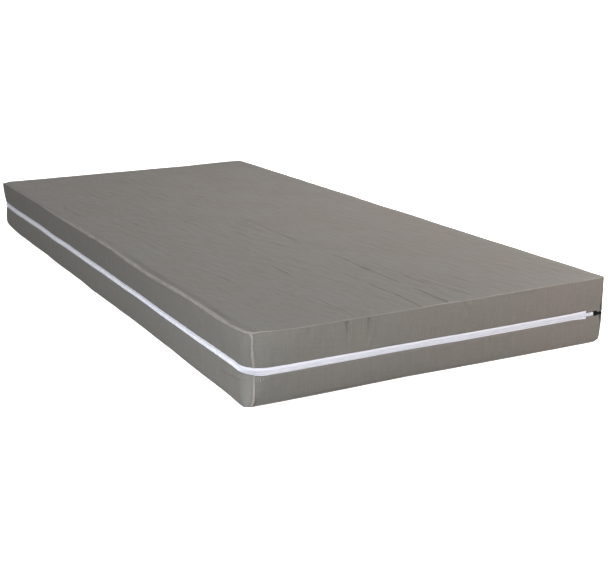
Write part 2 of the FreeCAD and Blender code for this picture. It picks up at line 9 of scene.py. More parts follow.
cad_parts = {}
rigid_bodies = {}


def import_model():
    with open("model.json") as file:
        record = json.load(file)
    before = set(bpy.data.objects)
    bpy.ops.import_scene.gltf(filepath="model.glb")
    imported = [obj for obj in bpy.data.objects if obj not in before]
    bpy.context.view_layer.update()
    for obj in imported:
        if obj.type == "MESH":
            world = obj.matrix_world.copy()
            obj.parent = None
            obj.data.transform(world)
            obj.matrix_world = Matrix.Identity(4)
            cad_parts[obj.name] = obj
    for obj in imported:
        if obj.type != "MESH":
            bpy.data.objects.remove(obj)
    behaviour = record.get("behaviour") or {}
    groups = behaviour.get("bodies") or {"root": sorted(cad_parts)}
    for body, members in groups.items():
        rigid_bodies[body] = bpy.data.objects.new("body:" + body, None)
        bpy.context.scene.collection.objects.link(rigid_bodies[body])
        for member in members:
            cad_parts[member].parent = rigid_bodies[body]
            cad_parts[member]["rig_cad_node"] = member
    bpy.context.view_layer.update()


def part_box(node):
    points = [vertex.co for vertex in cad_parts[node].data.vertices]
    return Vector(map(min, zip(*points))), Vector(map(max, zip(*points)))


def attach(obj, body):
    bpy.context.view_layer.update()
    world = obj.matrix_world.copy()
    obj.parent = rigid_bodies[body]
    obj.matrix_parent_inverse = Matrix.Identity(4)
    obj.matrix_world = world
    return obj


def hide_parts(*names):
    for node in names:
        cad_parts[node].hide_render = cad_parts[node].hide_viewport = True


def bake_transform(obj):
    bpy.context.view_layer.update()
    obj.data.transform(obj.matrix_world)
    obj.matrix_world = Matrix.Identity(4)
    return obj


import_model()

# Pressure relief mattress: a wrinkled, coated fabric cover with a white zip, round a foam core.
# Metres, in the CAD frame: +Z up, +Y from foot to head. The zip runs along the foot, left and head
# sides, and the cover folds open along its right side. "Near" is the corner of the foot and left sides.

# ---- sizes, from the frame
HALF_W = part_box("top_edge_seam")[1].x
HALF_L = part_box("top_edge_seam")[1].y
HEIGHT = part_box("top_edge_seam")[1].z
WINDOW_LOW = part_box("lower_border_foot")[1].z
WINDOW_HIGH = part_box("upper_border_foot")[0].z
FOLD = (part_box("lower_border_right")[1].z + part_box("upper_border_right")[0].z) / 2  # the zip's middle, too
TAPE_OUTER = HALF_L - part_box("lower_zip_tape")[1].y
TAPE_THICK = 0.0008
HALF_SLIT = 0.0002  # half the slit between the two tapes, and between the garages' closed lips
TAPE_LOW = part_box("lower_zip_tape")[0].z
TAPE_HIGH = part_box("upper_zip_tape")[1].z
COIL_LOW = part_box("lower_zip_coil")[0].z
COIL_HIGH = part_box("upper_zip_coil")[1].z
COIL_FRONT = HALF_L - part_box("lower_zip_coil")[1].y
ZIP_STOP_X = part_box("lower_zip_tape")[1].x
ZIP_OPENS_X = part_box("upper_zip_tape")[1].x
GARAGE_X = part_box("lower_zip_garage_foot")[0].x

# ---- how the cloth is made up
CLOTH = 0.0009  # thickness of the coated fabric
EDGE_TOP = HEIGHT + 0.0003  # height of the top edge seam
CROWN = 0.0016  # how far the top sheet rises inside its edge
EDGE_RISE = 0.0018  # how far above the floor the bottom edge seam lies
EDGE_SPAN = 0.009  # width of the rounded strip along the edge
BOTTOM_INSET = 0.0015  # how much smaller the bottom sheet is on each side
CORNER_RADII = {
    # corner: radius seen from above at the bottom seam, at the zip and at the top seam
    "foot_left": (0.010, 0.050, 0.016),
    "foot_right": (0.020, 0.013, 0.007),
    "head_right": (0.012, 0.014, 0.007),
    "head_left": (0.016, 0.026, 0.005),
}
# How far the near corner's upright seam lies round on the foot side, at heights from the floor up.
NEAR_SEAM_AT = (0.0, 0.014, 0.026, 0.038, 0.050, 0.062, 0.088, 0.100, 0.118, 0.136, 0.142, 0.150)
NEAR_SEAM = (
    0.0095, 0.0114, 0.0106, 0.0090, 0.0077, 0.0072, 0.0063, 0.0050, 0.0048, 0.0061, 0.0052, 0.0024,
)
SEAM_CLEARANCE = 0.0008  # between the right side's upright seams and the fold
CORNER_ZONE = 0.060  # the part of a side that belongs to its corner
CORNER_CELLS = 12
SIDES = {
    # side: direction along it, outward normal, half length, distance from the middle, cells
    "foot": ((1, 0), (0, -1), HALF_W, HALF_L, 288),
    "right": ((0, 1), (1, 0), HALF_L, HALF_W, 156),
    "head": ((-1, 0), (0, 1), HALF_W, HALF_L, 288),
    "left": ((0, -1), (-1, 0), HALF_L, HALF_W, 156),
}
ENDS = {
    # side: the corners at its start and end
    "foot": ("foot_left", "foot_right"),
    "right": ("foot_right", "head_right"),
    "head": ("head_right", "head_left"),
    "left": ("head_left", "foot_left"),
}
PERIMETER = 5.8
RUN_START = {"foot": 0.45, "right": 1.9, "head": 3.35, "left": 4.8}  # the sides' middles on the way round
BODY = {"lower": "base", "upper": "top"}  # the body of everything below and above the zip
UP = np.array([0.0, 0.0, 1.0])


# ---- numbers
def smoothstep(low, high, x):
    t = np.clip((x - low) / (high - low), 0, 1)
    return t * t * (3 - 2 * t)


def bump(x, centre, width):
    """A smooth hump of height 1, about `width` wide on each side."""
    return np.exp(-(((x - centre) / width) ** 2))


def noise(seed, x, y, octaves=1):
    """Smooth noise between about -1 and 1, the same on each run."""
    lattice = np.random.default_rng(seed).uniform(-1, 1, (64, 64))
    x, y = np.broadcast_arrays(np.asarray(x, float), np.asarray(y, float))
    total, size, scale = np.zeros(x.shape), 1.0, 1.0
    for _ in range(octaves):
        i, j = np.floor(x * scale).astype(int), np.floor(y * scale).astype(int)
        u, v = smoothstep(0, 1, x * scale - i), smoothstep(0, 1, y * scale - j)
        a = lattice[i % 64, j % 64] * (1 - u) + lattice[(i + 1) % 64, j % 64] * u
        b = lattice[i % 64, (j + 1) % 64] * (1 - u) + lattice[(i + 1) % 64, (j + 1) % 64] * u
        total += size * (a * (1 - v) + b * v)
        size, scale = size / 2, scale * 2.03
    return total


def unit(v):
    return v / np.maximum(np.linalg.norm(v, axis=-1, keepdims=True), 1e-9)


def travelled(points):
    """How far along a line of points each one lies."""
    return np.concatenate([[0], np.cumsum(np.linalg.norm(np.diff(points, axis=0), axis=1))])


def sample(field, u, v):
    """Smooth heights read from a grid of them, at shares 0 to 1 of its width and length."""
    rows, columns = field.shape
    u, v = np.clip(u, 0, 1) * (columns - 1), np.clip(v, 0, 1) * (rows - 1)
    i, j = np.floor(u).astype(int), np.floor(v).astype(int)
    total = np.zeros(np.shape(u))
    for a, across in enumerate(spline_weights(u - i)):
        for b, down in enumerate(spline_weights(v - j)):
            row, column = np.clip(j + b - 1, 0, rows - 1), np.clip(i + a - 1, 0, columns - 1)
            total += across * down * field[row, column]
    return total


def spline_weights(t):
    """The four weights of a uniform cubic B-spline."""
    return (
        (1 - t) ** 3 / 6,
        (3 * t**3 - 6 * t**2 + 4) / 6,
        (-3 * t**3 + 3 * t**2 + 3 * t + 1) / 6,
        t**3 / 6,
    )


# ---- cloth simulation
SIM_FRAMES = 30
BORDER_CUT = 0.072  # height of a border's simulated strip
TOP_BEND, BORDER_BEND = 25, 20  # stiffness against bending
TOP_SHARE, BORDER_SHARE = 0.55, 0.9  # of the simulated heights that the cover shows
SIM_GAP = 0.001  # between the sheet and the foam
SIM_START = 0.0015  # height at which the sheet starts
SIM_SETTINGS = {
    "quality": 5,
    "mass": 0.25,
    "tension_stiffness": 20,
    "compression_stiffness": 20,
    "shear_stiffness": 5,
    "tension_damping": 8,
    "compression_damping": 8,
    "shear_damping": 8,
    "bending_damping": 0.8,
    "air_damping": 2,
}


def wide_sheet(x, y, z, excess):
    """A sheet held along its edges, with its flat shape, cut wider by `excess`, as a shape key."""
    rows, columns = x.shape
    sheet = new_mesh("wrinkle_sheet", np.stack([x, y, z], -1), grid_faces(rows, columns))
    steps = np.diff(x, axis=1) * (1 + (excess[:, 1:] + excess[:, :-1]) / 2)
    cut = np.concatenate([np.zeros((rows, 1)), np.cumsum(steps, axis=1)], axis=1)
    cut += (x[0, -1] - cut[:, -1:]) / 2
    sheet.shape_key_add(name="Basis")
    flat = sheet.shape_key_add(name="cut")
    flat.data.foreach_set("co", np.stack([cut, y, z], -1).ravel())
    flat.value = 0
    held = sheet.vertex_groups.new(name="held")
    index = np.arange(rows * columns).reshape(rows, columns)
    rim = np.concatenate([index[0], index[-1], index[:, 0], index[:, -1]])
    held.add(rim.tolist(), 1.0, "REPLACE")
    return sheet


def simulate_wrinkles(width, length, columns, rows, excess, stiffness):
    """Heights of the wrinkles of a sheet that is cut wider than the foam that it lies on.

    `excess` is the extra share of width at each point of the grid. The sheet is held along its
    edges, and gravity lays it on the foam.
    """
    x, y = np.meshgrid(np.linspace(0, width, columns), np.linspace(0, length, rows))
    z = SIM_START + 0.0003 * noise(3, x / 0.02, y / 0.05, 2)
    sheet = wide_sheet(x, y, z, excess)
    corners = [(a, b) for b in (-0.1, length + 0.1) for a in (-0.1, width + 0.1)]
    foam = new_mesh("wrinkle_foam", [(a, b, 0) for a, b in corners], [(0, 1, 3, 2)])
    foam.modifiers.new("foam", "COLLISION")
    foam.collision.thickness_outer = SIM_GAP
    foam.collision.cloth_friction = 20

    cloth = sheet.modifiers.new("cloth", "CLOTH")
    for key, setting in SIM_SETTINGS.items():
        setattr(cloth.settings, key, setting)
    cloth.settings.bending_stiffness = stiffness
    cloth.settings.vertex_group_mass = "held"
    cloth.settings.rest_shape_key = sheet.data.shape_keys.key_blocks["cut"]
    cloth.collision_settings.distance_min = SIM_GAP
    cloth.collision_settings.use_self_collision = False
    cloth.point_cache.frame_start, cloth.point_cache.frame_end = 1, SIM_FRAMES
    for number in range(1, SIM_FRAMES + 1):
        bpy.context.scene.frame_set(number)
    mesh = sheet.evaluated_get(bpy.context.evaluated_depsgraph_get()).to_mesh()
    found = np.zeros(rows * columns * 3)
    mesh.vertices.foreach_get("co", found)
    heights = found.reshape(rows, columns, 3)[..., 2] - SIM_START
    bpy.data.objects.remove(sheet)
    bpy.data.objects.remove(foam)
    bpy.context.scene.frame_set(1)
    return heights


def top_wrinkles():
    """Wrinkles of the top, most of them in the middle and towards the foot."""
    columns, rows = 151, 101
    x, y = np.meshgrid(np.linspace(-HALF_W, HALF_W, columns), np.linspace(-HALF_L, HALF_L, rows))
    band = bump(x, -0.07 - 0.06 * y, 0.24) * smoothstep(1.1, -0.6, y)
    patches = np.clip(0.5 + 0.9 * noise(5, x / 0.18, y / 0.35, 2), 0.05, 2)
    near_corner = smoothstep(-0.25, -0.45, y) * smoothstep(-0.05, -0.20, x)
    spread_out = smoothstep(0.45, -0.20, x) * (1 - 0.7 * near_corner)
    excess = 0.0030 * patches * spread_out + 0.0055 * band * patches
    return TOP_SHARE * simulate_wrinkles(2 * HALF_W, 2 * HALF_L, columns, rows, excess, TOP_BEND)


def border_wrinkles():
    """Wrinkles of the borders, all the way round: the width is the run and the length the height."""
    columns, rows = 1161, 15
    run, up = np.meshgrid(np.linspace(0, PERIMETER, columns), np.linspace(0, 1, rows))
    patches = np.clip(0.5 + 1.1 * noise(6, run / 0.12, 0.5, 2), 0.02, 2)
    excess = 0.010 * patches * (0.6 + 0.6 * up)
    return BORDER_SHARE * simulate_wrinkles(PERIMETER, BORDER_CUT, columns, rows, excess, BORDER_BEND)


# ---- meshes
def grid_faces(rows, columns, wrap_rows=False, wrap_columns=False, first=0):
    """Quads of a grid of points that are numbered row by row."""
    r = np.arange(rows if wrap_rows else rows - 1)
    c = np.arange(columns if wrap_columns else columns - 1)
    r, c = np.meshgrid(r, c, indexing="ij")
    r2, c2 = (r + 1) % rows, (c + 1) % columns
    quads = np.stack([r * columns + c, r * columns + c2, r2 * columns + c2, r2 * columns + c], -1)
    return quads.reshape(-1, 4) + first


def new_mesh(name, points, faces, uv=None):
    """A smooth mesh object from arrays. `uv` has one value per point."""
    mesh = bpy.data.meshes.new(name)
    points = np.asarray(points, float).reshape(-1, 3)
    mesh.from_pydata(points.tolist(), [], [list(map(int, f)) for f in faces])
    if uv is not None:
        layer = mesh.uv_layers.new(name="cloth")
        corner = np.zeros(len(mesh.loops), np.int32)
        mesh.loops.foreach_get("vertex_index", corner)
        layer.data.foreach_set("uv", np.asarray(uv, float).reshape(-1, 2)[corner].ravel())
    mesh.polygons.foreach_set("use_smooth", np.ones(len(mesh.polygons), bool))
    mesh.update()
    obj = bpy.data.objects.new(name, mesh)
    bpy.context.collection.objects.link(obj)
    return obj


def cloth_grid(name, points, uv):
    """A sheet of cloth through a grid of points, with its thickness on the inner side."""
    rows, columns = points.shape[:2]
    obj = new_mesh(name, points, grid_faces(rows, columns), uv)
    solid = obj.modifiers.new("thickness", "SOLIDIFY")
    solid.thickness = CLOTH
    solid.offset = -1
    apply_modifiers(obj)
    return obj


def apply_modifiers(obj):
    evaluated = obj.evaluated_get(bpy.context.evaluated_depsgraph_get())
    mesh = bpy.data.meshes.new_from_object(evaluated)
    obj.modifiers.clear()
    old, obj.data = obj.data, mesh
    bpy.data.meshes.remove(old)


def sweep(name, centres, across, out, profile, closed_path=False):
    """A profile of (across, out) offsets, one per path point or one for all, along a path."""
    profile = np.broadcast_to(profile, (len(centres),) + np.shape(profile)[-2:])
    points = centres[:, None] + across[:, None] * profile[..., 0:1] + out[:, None] * profile[..., 1:2]
    rows, columns = points.shape[:2]
    faces = grid_faces(rows, columns, wrap_rows=closed_path, wrap_columns=True).tolist()
    if not closed_path:
        faces.append(list(range(columns))[::-1])
        faces.append(list(range((rows - 1) * columns, rows * columns)))
    around = np.arange(columns) / columns * 0.01
    uv = np.stack(np.broadcast_arrays(travelled(centres)[:, None], around[None]), -1)
    obj = new_mesh(name, points, faces, uv)
    recalculate_normals(obj)
    return obj


def copies(faces, count, number):
    """The faces of `number` equal pieces of `count` points each, one after the other."""
    return (faces[None] + (np.arange(number) * count)[:, None, None]).reshape(-1, 4)


def stand_for(obj, key, body, *nodes):
    """Gives a piece its material, hides the nodes it replaces and gives it its body."""
    dress(obj, key)
    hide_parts(*nodes)
    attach(obj, body)


def recalculate_normals(obj):
    mesh = bmesh.new()
    mesh.from_mesh(obj.data)
    bmesh.ops.recalc_face_normals(mesh, faces=mesh.faces)
    mesh.to_mesh(obj.data)
    mesh.free()


# ---- the cover's shape
def corner_radius(corner, z):
    """The corners are tight at the sewn edges and rounder at the zip."""
    bottom, middle, top = CORNER_RADII[corner]
    away = abs(z - FOLD) / (FOLD if z < FOLD else HEIGHT - FOLD)
    return middle + ((bottom if z < FOLD else top) - middle) * away**1.6


def seam_shift(corner, z):
    """How far round its corner an upright seam lies: towards the foot or the head side."""
    if corner == "foot_left":
        return np.interp(z, NEAR_SEAM_AT, NEAR_SEAM)
    if corner == "head_left":
        return 0.003 * (1 - 2.4 * (z / HEIGHT - 0.5) ** 2)
    return 0.0


def corner_line(radius, shift, cells):
    """(distance ahead, depth, turn) from a corner's start to its seam, in equal steps."""
    reach = CORNER_ZONE - radius
    travel = np.linspace(0, reach + radius * math.pi / 4 + shift, cells + 1)
    turn = np.clip((travel - reach) / radius, 0, math.pi / 2)
    past = np.clip(travel - reach - radius * math.pi / 2, 0, None)
    ahead = np.minimum(travel, reach) + radius * np.sin(turn)
    return ahead, radius * (1 - np.cos(turn)) + past, turn


def side_line(side, z, spare=1):
    """(position, outward normal, run) along one side at a height, from seam to seam."""
    along_dir, out_dir, half, distance, cells = SIDES[side]
    start_corner, end_corner = ENDS[side]
    toward = 1 if side in ("left", "right") else -1
    ends = [
        corner_line(corner_radius(corner, z), toward * seam_shift(corner, z), CORNER_CELLS * spare)
        for corner in (start_corner, end_corner)
    ]
    (ahead0, depth0, turn0), (ahead1, depth1, turn1) = ends
    start = half - CORNER_ZONE
    straight = np.linspace(-start, start, cells * spare + 1)
    nothing = np.zeros(len(straight))
    along = np.concatenate([-(start + ahead0[:0:-1]), straight, start + ahead1[1:]])
    depth = np.concatenate([depth0[:0:-1], nothing, depth1[1:]])
    turn = np.concatenate([-turn0[:0:-1], nothing, turn1[1:]])
    along_dir, out_dir = np.array(along_dir, float), np.array(out_dir, float)
    place = along[:, None] * along_dir + (distance - depth)[:, None] * out_dir
    normal = np.sin(turn)[:, None] * along_dir + np.cos(turn)[:, None] * out_dir
    return place, normal, along


# How far the top seam of the left side slips down and out, at places along it.
SLIP_AT = (-1.0, -0.95, -0.88, -0.80, -0.70, -0.60, -0.50, -0.40, -0.30, -0.22, -0.05, 0.10, 0.35, 1.0)
SLIP = (
    0.0, 0.0, -0.0030, -0.0020, -0.0050, -0.0028, 0.0,
    0.0004, -0.0003, -0.0035, -0.0050, -0.0045, -0.0010, 0.0,
)
# How thick the seam is there.
RIDGE_AT = (-1.0, -0.83, -0.65, -0.42, -0.22, 0.35, 0.55, 1.0)
RIDGE = (0.0010, 0.0024, 0.0020, 0.0024, 0.0018, 0.0008, 0.0005, 0.0004)
# How much higher the zip lies on the left side.
RISE_AT = (-1.0, -0.97, -0.93, 0.1, 1.0)
RISE = (0.0, 0.0012, 0.0026, 0.0026, 0.0010)


def corner_distance(x, y, side_x, side_y):
    """How far points are, seen from above, from the corner on these sides (-1 or 1) of the middle."""
    return np.hypot(x - side_x * HALF_W, y - side_y * HALF_L)


def settle_left(x, y, z, left):
    """The seam along the left side slips over the foam's edge, and the lower edge stands out."""
    up = z / HEIGHT
    near_top = smoothstep(HEIGHT - 0.050, HEIGHT - 0.003, z)
    slip = np.interp(y, SLIP_AT, SLIP) + 0.0012 * noise(12, y / 0.09, 0.5, 2)
    dx = -0.50 * left * near_top * np.clip(slip, 0, None)
    dx -= 0.0030 * left * smoothstep(-0.50, -0.75, y) * (1 - up) ** 3
    return dx, 0 * x, -0.62 * left * near_top * slip


def settle_left_corners(x, y, z):
    """The far left corner droops and is rounded below. The near corner's top is pulled in and up."""
    up = z / HEIGHT
    far = corner_distance(x, y, -1, 1)
    dz = 0.0080 * bump(far, 0, 0.050) * (1 - up) ** 4 - 0.0055 * bump(far, 0, 0.020) * up**3
    near = bump(corner_distance(x, y, -1, -1), 0, 0.07)
    dx = near * (0.0030 * up + 0.0083 * up**4 - 0.0035)
    dy = near * (0.0030 + 0.0010 * up + 0.0093 * up**4)
    return dx, dy, dz + near * 0.0015 * up**4


def settle_right_corners(x, y, z):
    """The right-hand corners curve in towards the floor."""
    dx, dz = np.zeros_like(x), np.zeros_like(x)
    for end in (-1, 1):
        away = corner_distance(x, y, 1, end)
        tip = bump(away, 0, 0.022) * (1 - z / HEIGHT) ** 6
        dx -= 0.0045 * bump(away, 0, 0.045) * (1 - z / HEIGHT) ** 4 + 0.0012 * tip
        dz += 0.0025 * tip
    return dx, 0 * x, dz


def settle_ends(x, y, z):
    """The foot's lower edge is drawn in on the left and out on the right. The head's top edge sinks."""
    up = z / HEIGHT
    lower_foot = smoothstep(-HALF_L + 0.05, -HALF_L, y) * (1 - up) ** 3
    on_left = smoothstep(0.10, -0.10, x)
    dy = lower_foot * (0.0030 * on_left - 0.0065 * smoothstep(0.05, 0.42, x))
    sunk = smoothstep(0.80, 0.98, y) * smoothstep(0.40, 0.20, x) * smoothstep(-0.48, -0.38, x)
    return 0 * x, dy, lower_foot * 0.0012 * on_left - 0.0028 * sunk * up**3


def settle_sides(x, y, z, left):
    """The zip climbs a little towards the head, and every side wanders."""
    up = z / HEIGHT
    off_slider = smoothstep(0.40, 0.30, x)
    foot = smoothstep(-HALF_L + 0.05, -HALF_L, y) * off_slider
    head = smoothstep(HALF_L - 0.05, HALF_L, y) * off_slider
    right = smoothstep(HALF_W - 0.05, HALF_W, x) * smoothstep(HALF_L - 0.03, HALF_L - 0.12, np.abs(y))
    rise = (0.0015 + 0.0020 * (y / HALF_L + 1)) * smoothstep(0.35, -0.40, x)
    rise += np.interp(y, RISE_AT, RISE) * smoothstep(-0.36, -0.44, x)
    dx = left * 0.0016 * noise(11, y / 0.16, up, 2) + right * 0.0014 * noise(16, y / 0.18, up, 2)
    dy = foot * 0.0010 * noise(13, x / 0.13, up, 2) + head * 0.0014 * noise(15, x / 0.14, up, 2)
    dz = 4 * up * (1 - up) * (rise + 0.0009 * left * noise(17, y / 0.19, 0, 2))
    return dx, dy, dz + foot * up**2 * 0.0007 * noise(14, x / 0.09, 0, 2)


def settle(points):
    """How the soft cover as a whole sags and leans, as a field in space. It's small at the slider."""
    points = np.array(points, float)
    x, y, z = np.moveaxis(points, -1, 0)
    left = smoothstep(-HALF_W + 0.022, -HALF_W + 0.003, x)
    moves = (
        settle_left(x, y, z, left), settle_left_corners(x, y, z), settle_ends(x, y, z),
        settle_right_corners(x, y, z), settle_sides(x, y, z, left),
    )
    return points + sum(np.stack(move, -1) for move in moves)


# The longest creases of the top: where each runs in x, from and to which y, width and height.
LONG_CREASES = (
    (0.022, -1.00, -0.83, 0.0034, 0.0018),
    (0.020, -0.84, -0.46, 0.0034, 0.0021),
    (-0.044, -1.00, -0.72, 0.0034, 0.0018),
    (-0.205, -1.00, -0.80, 0.0034, 0.0016),
    (0.062, -0.90, -0.58, 0.0036, 0.0010),
    (0.008, -0.40, 0.06, 0.0050, 0.0012),
    (-0.165, -0.70, -0.46, 0.0045, 0.0014),
    (-0.385, 0.27, 0.50, 0.0070, 0.0020),
)
SHORT_CREASES = 90
SHORT_SEED = 500  # the seeds of the short creases start here


def one_crease(x, y, place, width, height, seed):
    """A narrow ridge along y with a hollow beside it, fading at its ends."""
    at, start, stop = place
    tilt = 0.15 if seed >= SHORT_SEED else 0.0
    centre = at - tilt * (y - start) + 0.004 * noise(seed, y / 0.07, 0.5, 2)
    opening = 1.0 if start <= -HALF_L + 0.001 else smoothstep(start, start + 0.05, y)
    fade = opening * smoothstep(stop, stop - 0.09, y)
    across = (x - centre) / width
    fade = fade * np.clip(0.75 + 0.7 * noise(seed + 200, y / 0.035, 0.5, 2), 0.15, 1.2)
    return height * fade * (bump(across, 0, 1) - 0.5 * bump(across, -1.7, 1))


def crease_height(x, y):
    """Height of all the creases at points of the top."""
    total = np.zeros_like(x)
    for k, (at, start, stop, width, height) in enumerate(LONG_CREASES):
        total += one_crease(x, y, (at, start, stop), width, height, 400 + k)
    pick = np.random.default_rng(77)
    for k in range(SHORT_CREASES):
        at, start = pick.normal(-0.08, 0.13), pick.uniform(-1.05, 0.75)
        place = (np.clip(at, -0.42, 0.42), start, start + pick.uniform(0.10, 0.26))
        width, height = pick.uniform(0.0028, 0.0048), pick.uniform(0.0004, 0.0011)
        total += one_crease(x, y, place, width, height, SHORT_SEED + k)
    return total


def top_relief(x, y):
    """Height of the top's wrinkles above a flat sheet."""
    inside = np.minimum(HALF_W - np.abs(x), HALF_L - np.abs(y))
    broad = 0.0007 * noise(21, x / 0.17, y / 0.30, 2)
    across, along = 0.94 * x + 0.34 * y, 0.94 * y - 0.34 * x  # turned by 20 degrees
    fine = 0.00030 + 0.00024 * smoothstep(0.1, -0.3, x)
    crinkles = fine * noise(25, across / 0.008, along / 0.024, 2)
    simulated = sample(TOP_WRINKLES, (x + HALF_W) / (2 * HALF_W), (y + HALF_L) / (2 * HALF_L))
    deep = np.interp(y, RIDGE_AT, RIDGE) / max(RIDGE)
    valley = -0.0030 * deep * bump(x + HALF_W, 0.013, 0.006) * smoothstep(0.7, 0.3, y)
    away = smoothstep(0.002, 0.03, inside)
    creases = smoothstep(0, 0.004, inside) * crease_height(x, y)
    return away * (broad + crinkles + simulated) + valley + creases


def edge_inset(x, y, z):
    """How far points are inside the cover's outline at a height."""
    inset = np.minimum(HALF_W - np.abs(x), HALF_L - np.abs(y))
    for corner in CORNER_RADII:
        radius = corner_radius(corner, z)
        side_x, side_y = (1 if "right" in corner else -1), (1 if "head" in corner else -1)
        across, down = side_x * x - (HALF_W - radius), side_y * y - (HALF_L - radius)
        rounded = (across > 0) & (down > 0)
        inset = np.where(rounded, radius - np.hypot(across, down), inset)
    return inset


def sheet_plane(z):
    """Grids of x and y that fill the cover's outline at a height."""
    edges = {side: side_line(side, z)[0] for side in SIDES}
    bottom, top = edges["foot"], edges["head"][::-1]
    left, right = edges["left"][::-1], edges["right"]
    u = np.linspace(0, 1, len(bottom))[None, :, None]
    v = np.linspace(0, 1, len(left))[:, None, None]
    plane = (1 - v) * bottom[None] + v * top[None] + (1 - u) * left[:, None] + u * right[:, None]
    plane -= (1 - u) * (1 - v) * bottom[0] + u * (1 - v) * bottom[-1]
    plane -= (1 - u) * v * top[0] + u * v * top[-1]
    return plane[..., 0], plane[..., 1]


def top_points():
    """The top sheet as a grid, its rounded edge included, and each point's cloth coordinates."""
    x, y = sheet_plane(EDGE_TOP)
    rise = 1 - np.clip(1 - edge_inset(x, y, EDGE_TOP) / EDGE_SPAN, 0, 1) ** 2
    height = EDGE_TOP + CROWN * rise + top_relief(x, y)
    return np.stack([x, y, height], -1), np.stack([x, y], -1)


FOLD_WIDTH = 0.0042
FOOT_FOLDS = (
    # folds that hang from the foot's top seam: place, lean, depth and length
    (-0.318, 0.10, 0.0022, 0.030),
    (-0.230, 0.12, 0.0042, 0.060),
    (-0.177, 0.02, 0.0038, 0.064),
    (0.060, 0.10, 0.0024, 0.040),
)


def foot_folds(run, below):
    """The folds at a distance below the foot's top seam: hollows, each with a ridge beside it."""
    total = np.zeros_like(run)
    for centre, lean, depth, length in FOOT_FOLDS:
        line = (run - centre - lean * below - 0.0015 * math.sin(below / 0.012)) / FOLD_WIDTH
        fade = smoothstep(length, 0.3 * length, below)
        total += depth * fade * (0.4 * bump(line, 2.2, 1) - bump(line, 0, 1))
    return total


def border_relief(side, run, z, low, high):
    """How far a border's folds stand out. They fade at its edges and at the corner seams."""
    half = SIDES[side][2]
    t = (z - low) / (high - low)
    upper = low > FOLD
    around = (RUN_START[side] + run + (0 if upper else PERIMETER / 2)) % PERIMETER / PERIMETER
    seam_end = t if upper else 1 - t  # 1 at the sewn edge, 0 at the zip
    inner = smoothstep(half - 0.004, half - 0.05, np.abs(run))
    level = smoothstep(0, 0.12, t) * smoothstep(1, 0.88, t)
    relief = 0.0012 * noise(31 + upper, around * 26, z / 0.08, 2)
    relief = relief + 0.0005 * noise(33 + upper, around * PERIMETER / 0.016, z / 0.06, 2)
    relief = relief + sample(BORDER_WRINKLES, around, np.full_like(around, seam_end))
    pucker = noise(37 + upper, around * PERIMETER / 0.009, z / 0.05)
    relief += 0.0006 * pucker * smoothstep(0.40, 0.0, seam_end)
    relief += 0.0004 * pucker * smoothstep(0.75, 1.0, seam_end)
    if side == "foot" and upper:
        gathers = 0.0014 * noise(39, run / 0.0055, 0.5, 1) * bump(run, -0.412, 0.022)
        relief += foot_folds(run, high - z) + gathers * bump(z, 0.100, 0.022)
    if side == "left" and not upper:
        line = 0.0505 + 0.09 * (run - half + 0.02)  # a fold below the zip, by the near corner
        relief += 0.0028 * bump(z, line, 0.0030) * smoothstep(half - 0.17, half - 0.08, run)
    return inner * level * relief


HEM_TURN = (
    # the hem's turned edge: height from the zip's window, and offset from the hem's face
    (0.0080, -0.0020), (0.0040, -0.0020), (0.0012, -0.0020),
    (0.0003, -0.0016), (0, -0.0010), (0.0003, -0.0004),
)
HEM_ROWS = len(HEM_TURN)
HEM_DEPTH = 0.0018  # how far the hem's face lies behind the cover's outline
BORDER_ROWS = 28  # between the hem and the sewn edge
FINENESS = {"foot": 2, "right": 3, "head": 1, "left": 3}  # of the borders' grids along each side


def border_rows(upper):
    """Heights and outward offsets of a border's rows from its hem to its sewn edge."""
    if upper:
        high, low, hem = EDGE_TOP, WINDOW_HIGH, 1
    else:
        high, low, hem = EDGE_RISE, WINDOW_LOW, -1
    t = np.linspace(0, 1, BORDER_ROWS + 1)[1:]
    z = low + (high - low) * t
    tuck = 0.0 if upper else 0.0015 * np.clip(t - 0.8, 0, 1) ** 2 / 0.04
    offset = 0.0016 * np.sin(math.pi * t) ** 0.8 - HEM_DEPTH * (1 - t) ** 2 - tuck
    hem_z = [low + hem * dz for dz, _ in HEM_TURN]
    hem_offset = [d - HEM_DEPTH for _, d in HEM_TURN]
    return np.concatenate([hem_z, z]), np.concatenate([hem_offset, offset])


# How far the hems reach over the zip's tapes: at places along the left side, from head to foot,
# and along the foot side, from left to right. It's zero at the slider and the garages.
LEFT_REACH_AT = (-1.0, -0.5, -0.1, 0.3, 0.6, 0.8, 0.93, 1.0)
LEFT_REACH = (0.0005, 0.0010, 0.0020, 0.0034, 0.0038, 0.0054, 0.0060, 0.0036)
FOOT_REACH_AT = (-0.45, -0.42, -0.40, -0.05, 0.05, 0.25, 0.36, 0.40)
FOOT_REACH_LOW = (0.0036, 0.0028, 0.0033, 0.0032, 0.0020, 0.0022, 0.0026, 0.0)
FOOT_REACH_HIGH = (0.0, 0.0002, 0.0004, 0.0010, 0.0016, 0.0015, 0.0012, 0.0)


def hem_reach(side, upper, run):
    """How far a border's hem reaches over the zip's tape, by place along its side."""
    if side == "head":
        return 0.0012 * smoothstep(0.40, 0.36, -run)
    if side == "left":
        return 0.0004 + 0 * run if upper else np.interp(run, LEFT_REACH_AT, LEFT_REACH)
    return np.interp(run, FOOT_REACH_AT, FOOT_REACH_HIGH if upper else FOOT_REACH_LOW)


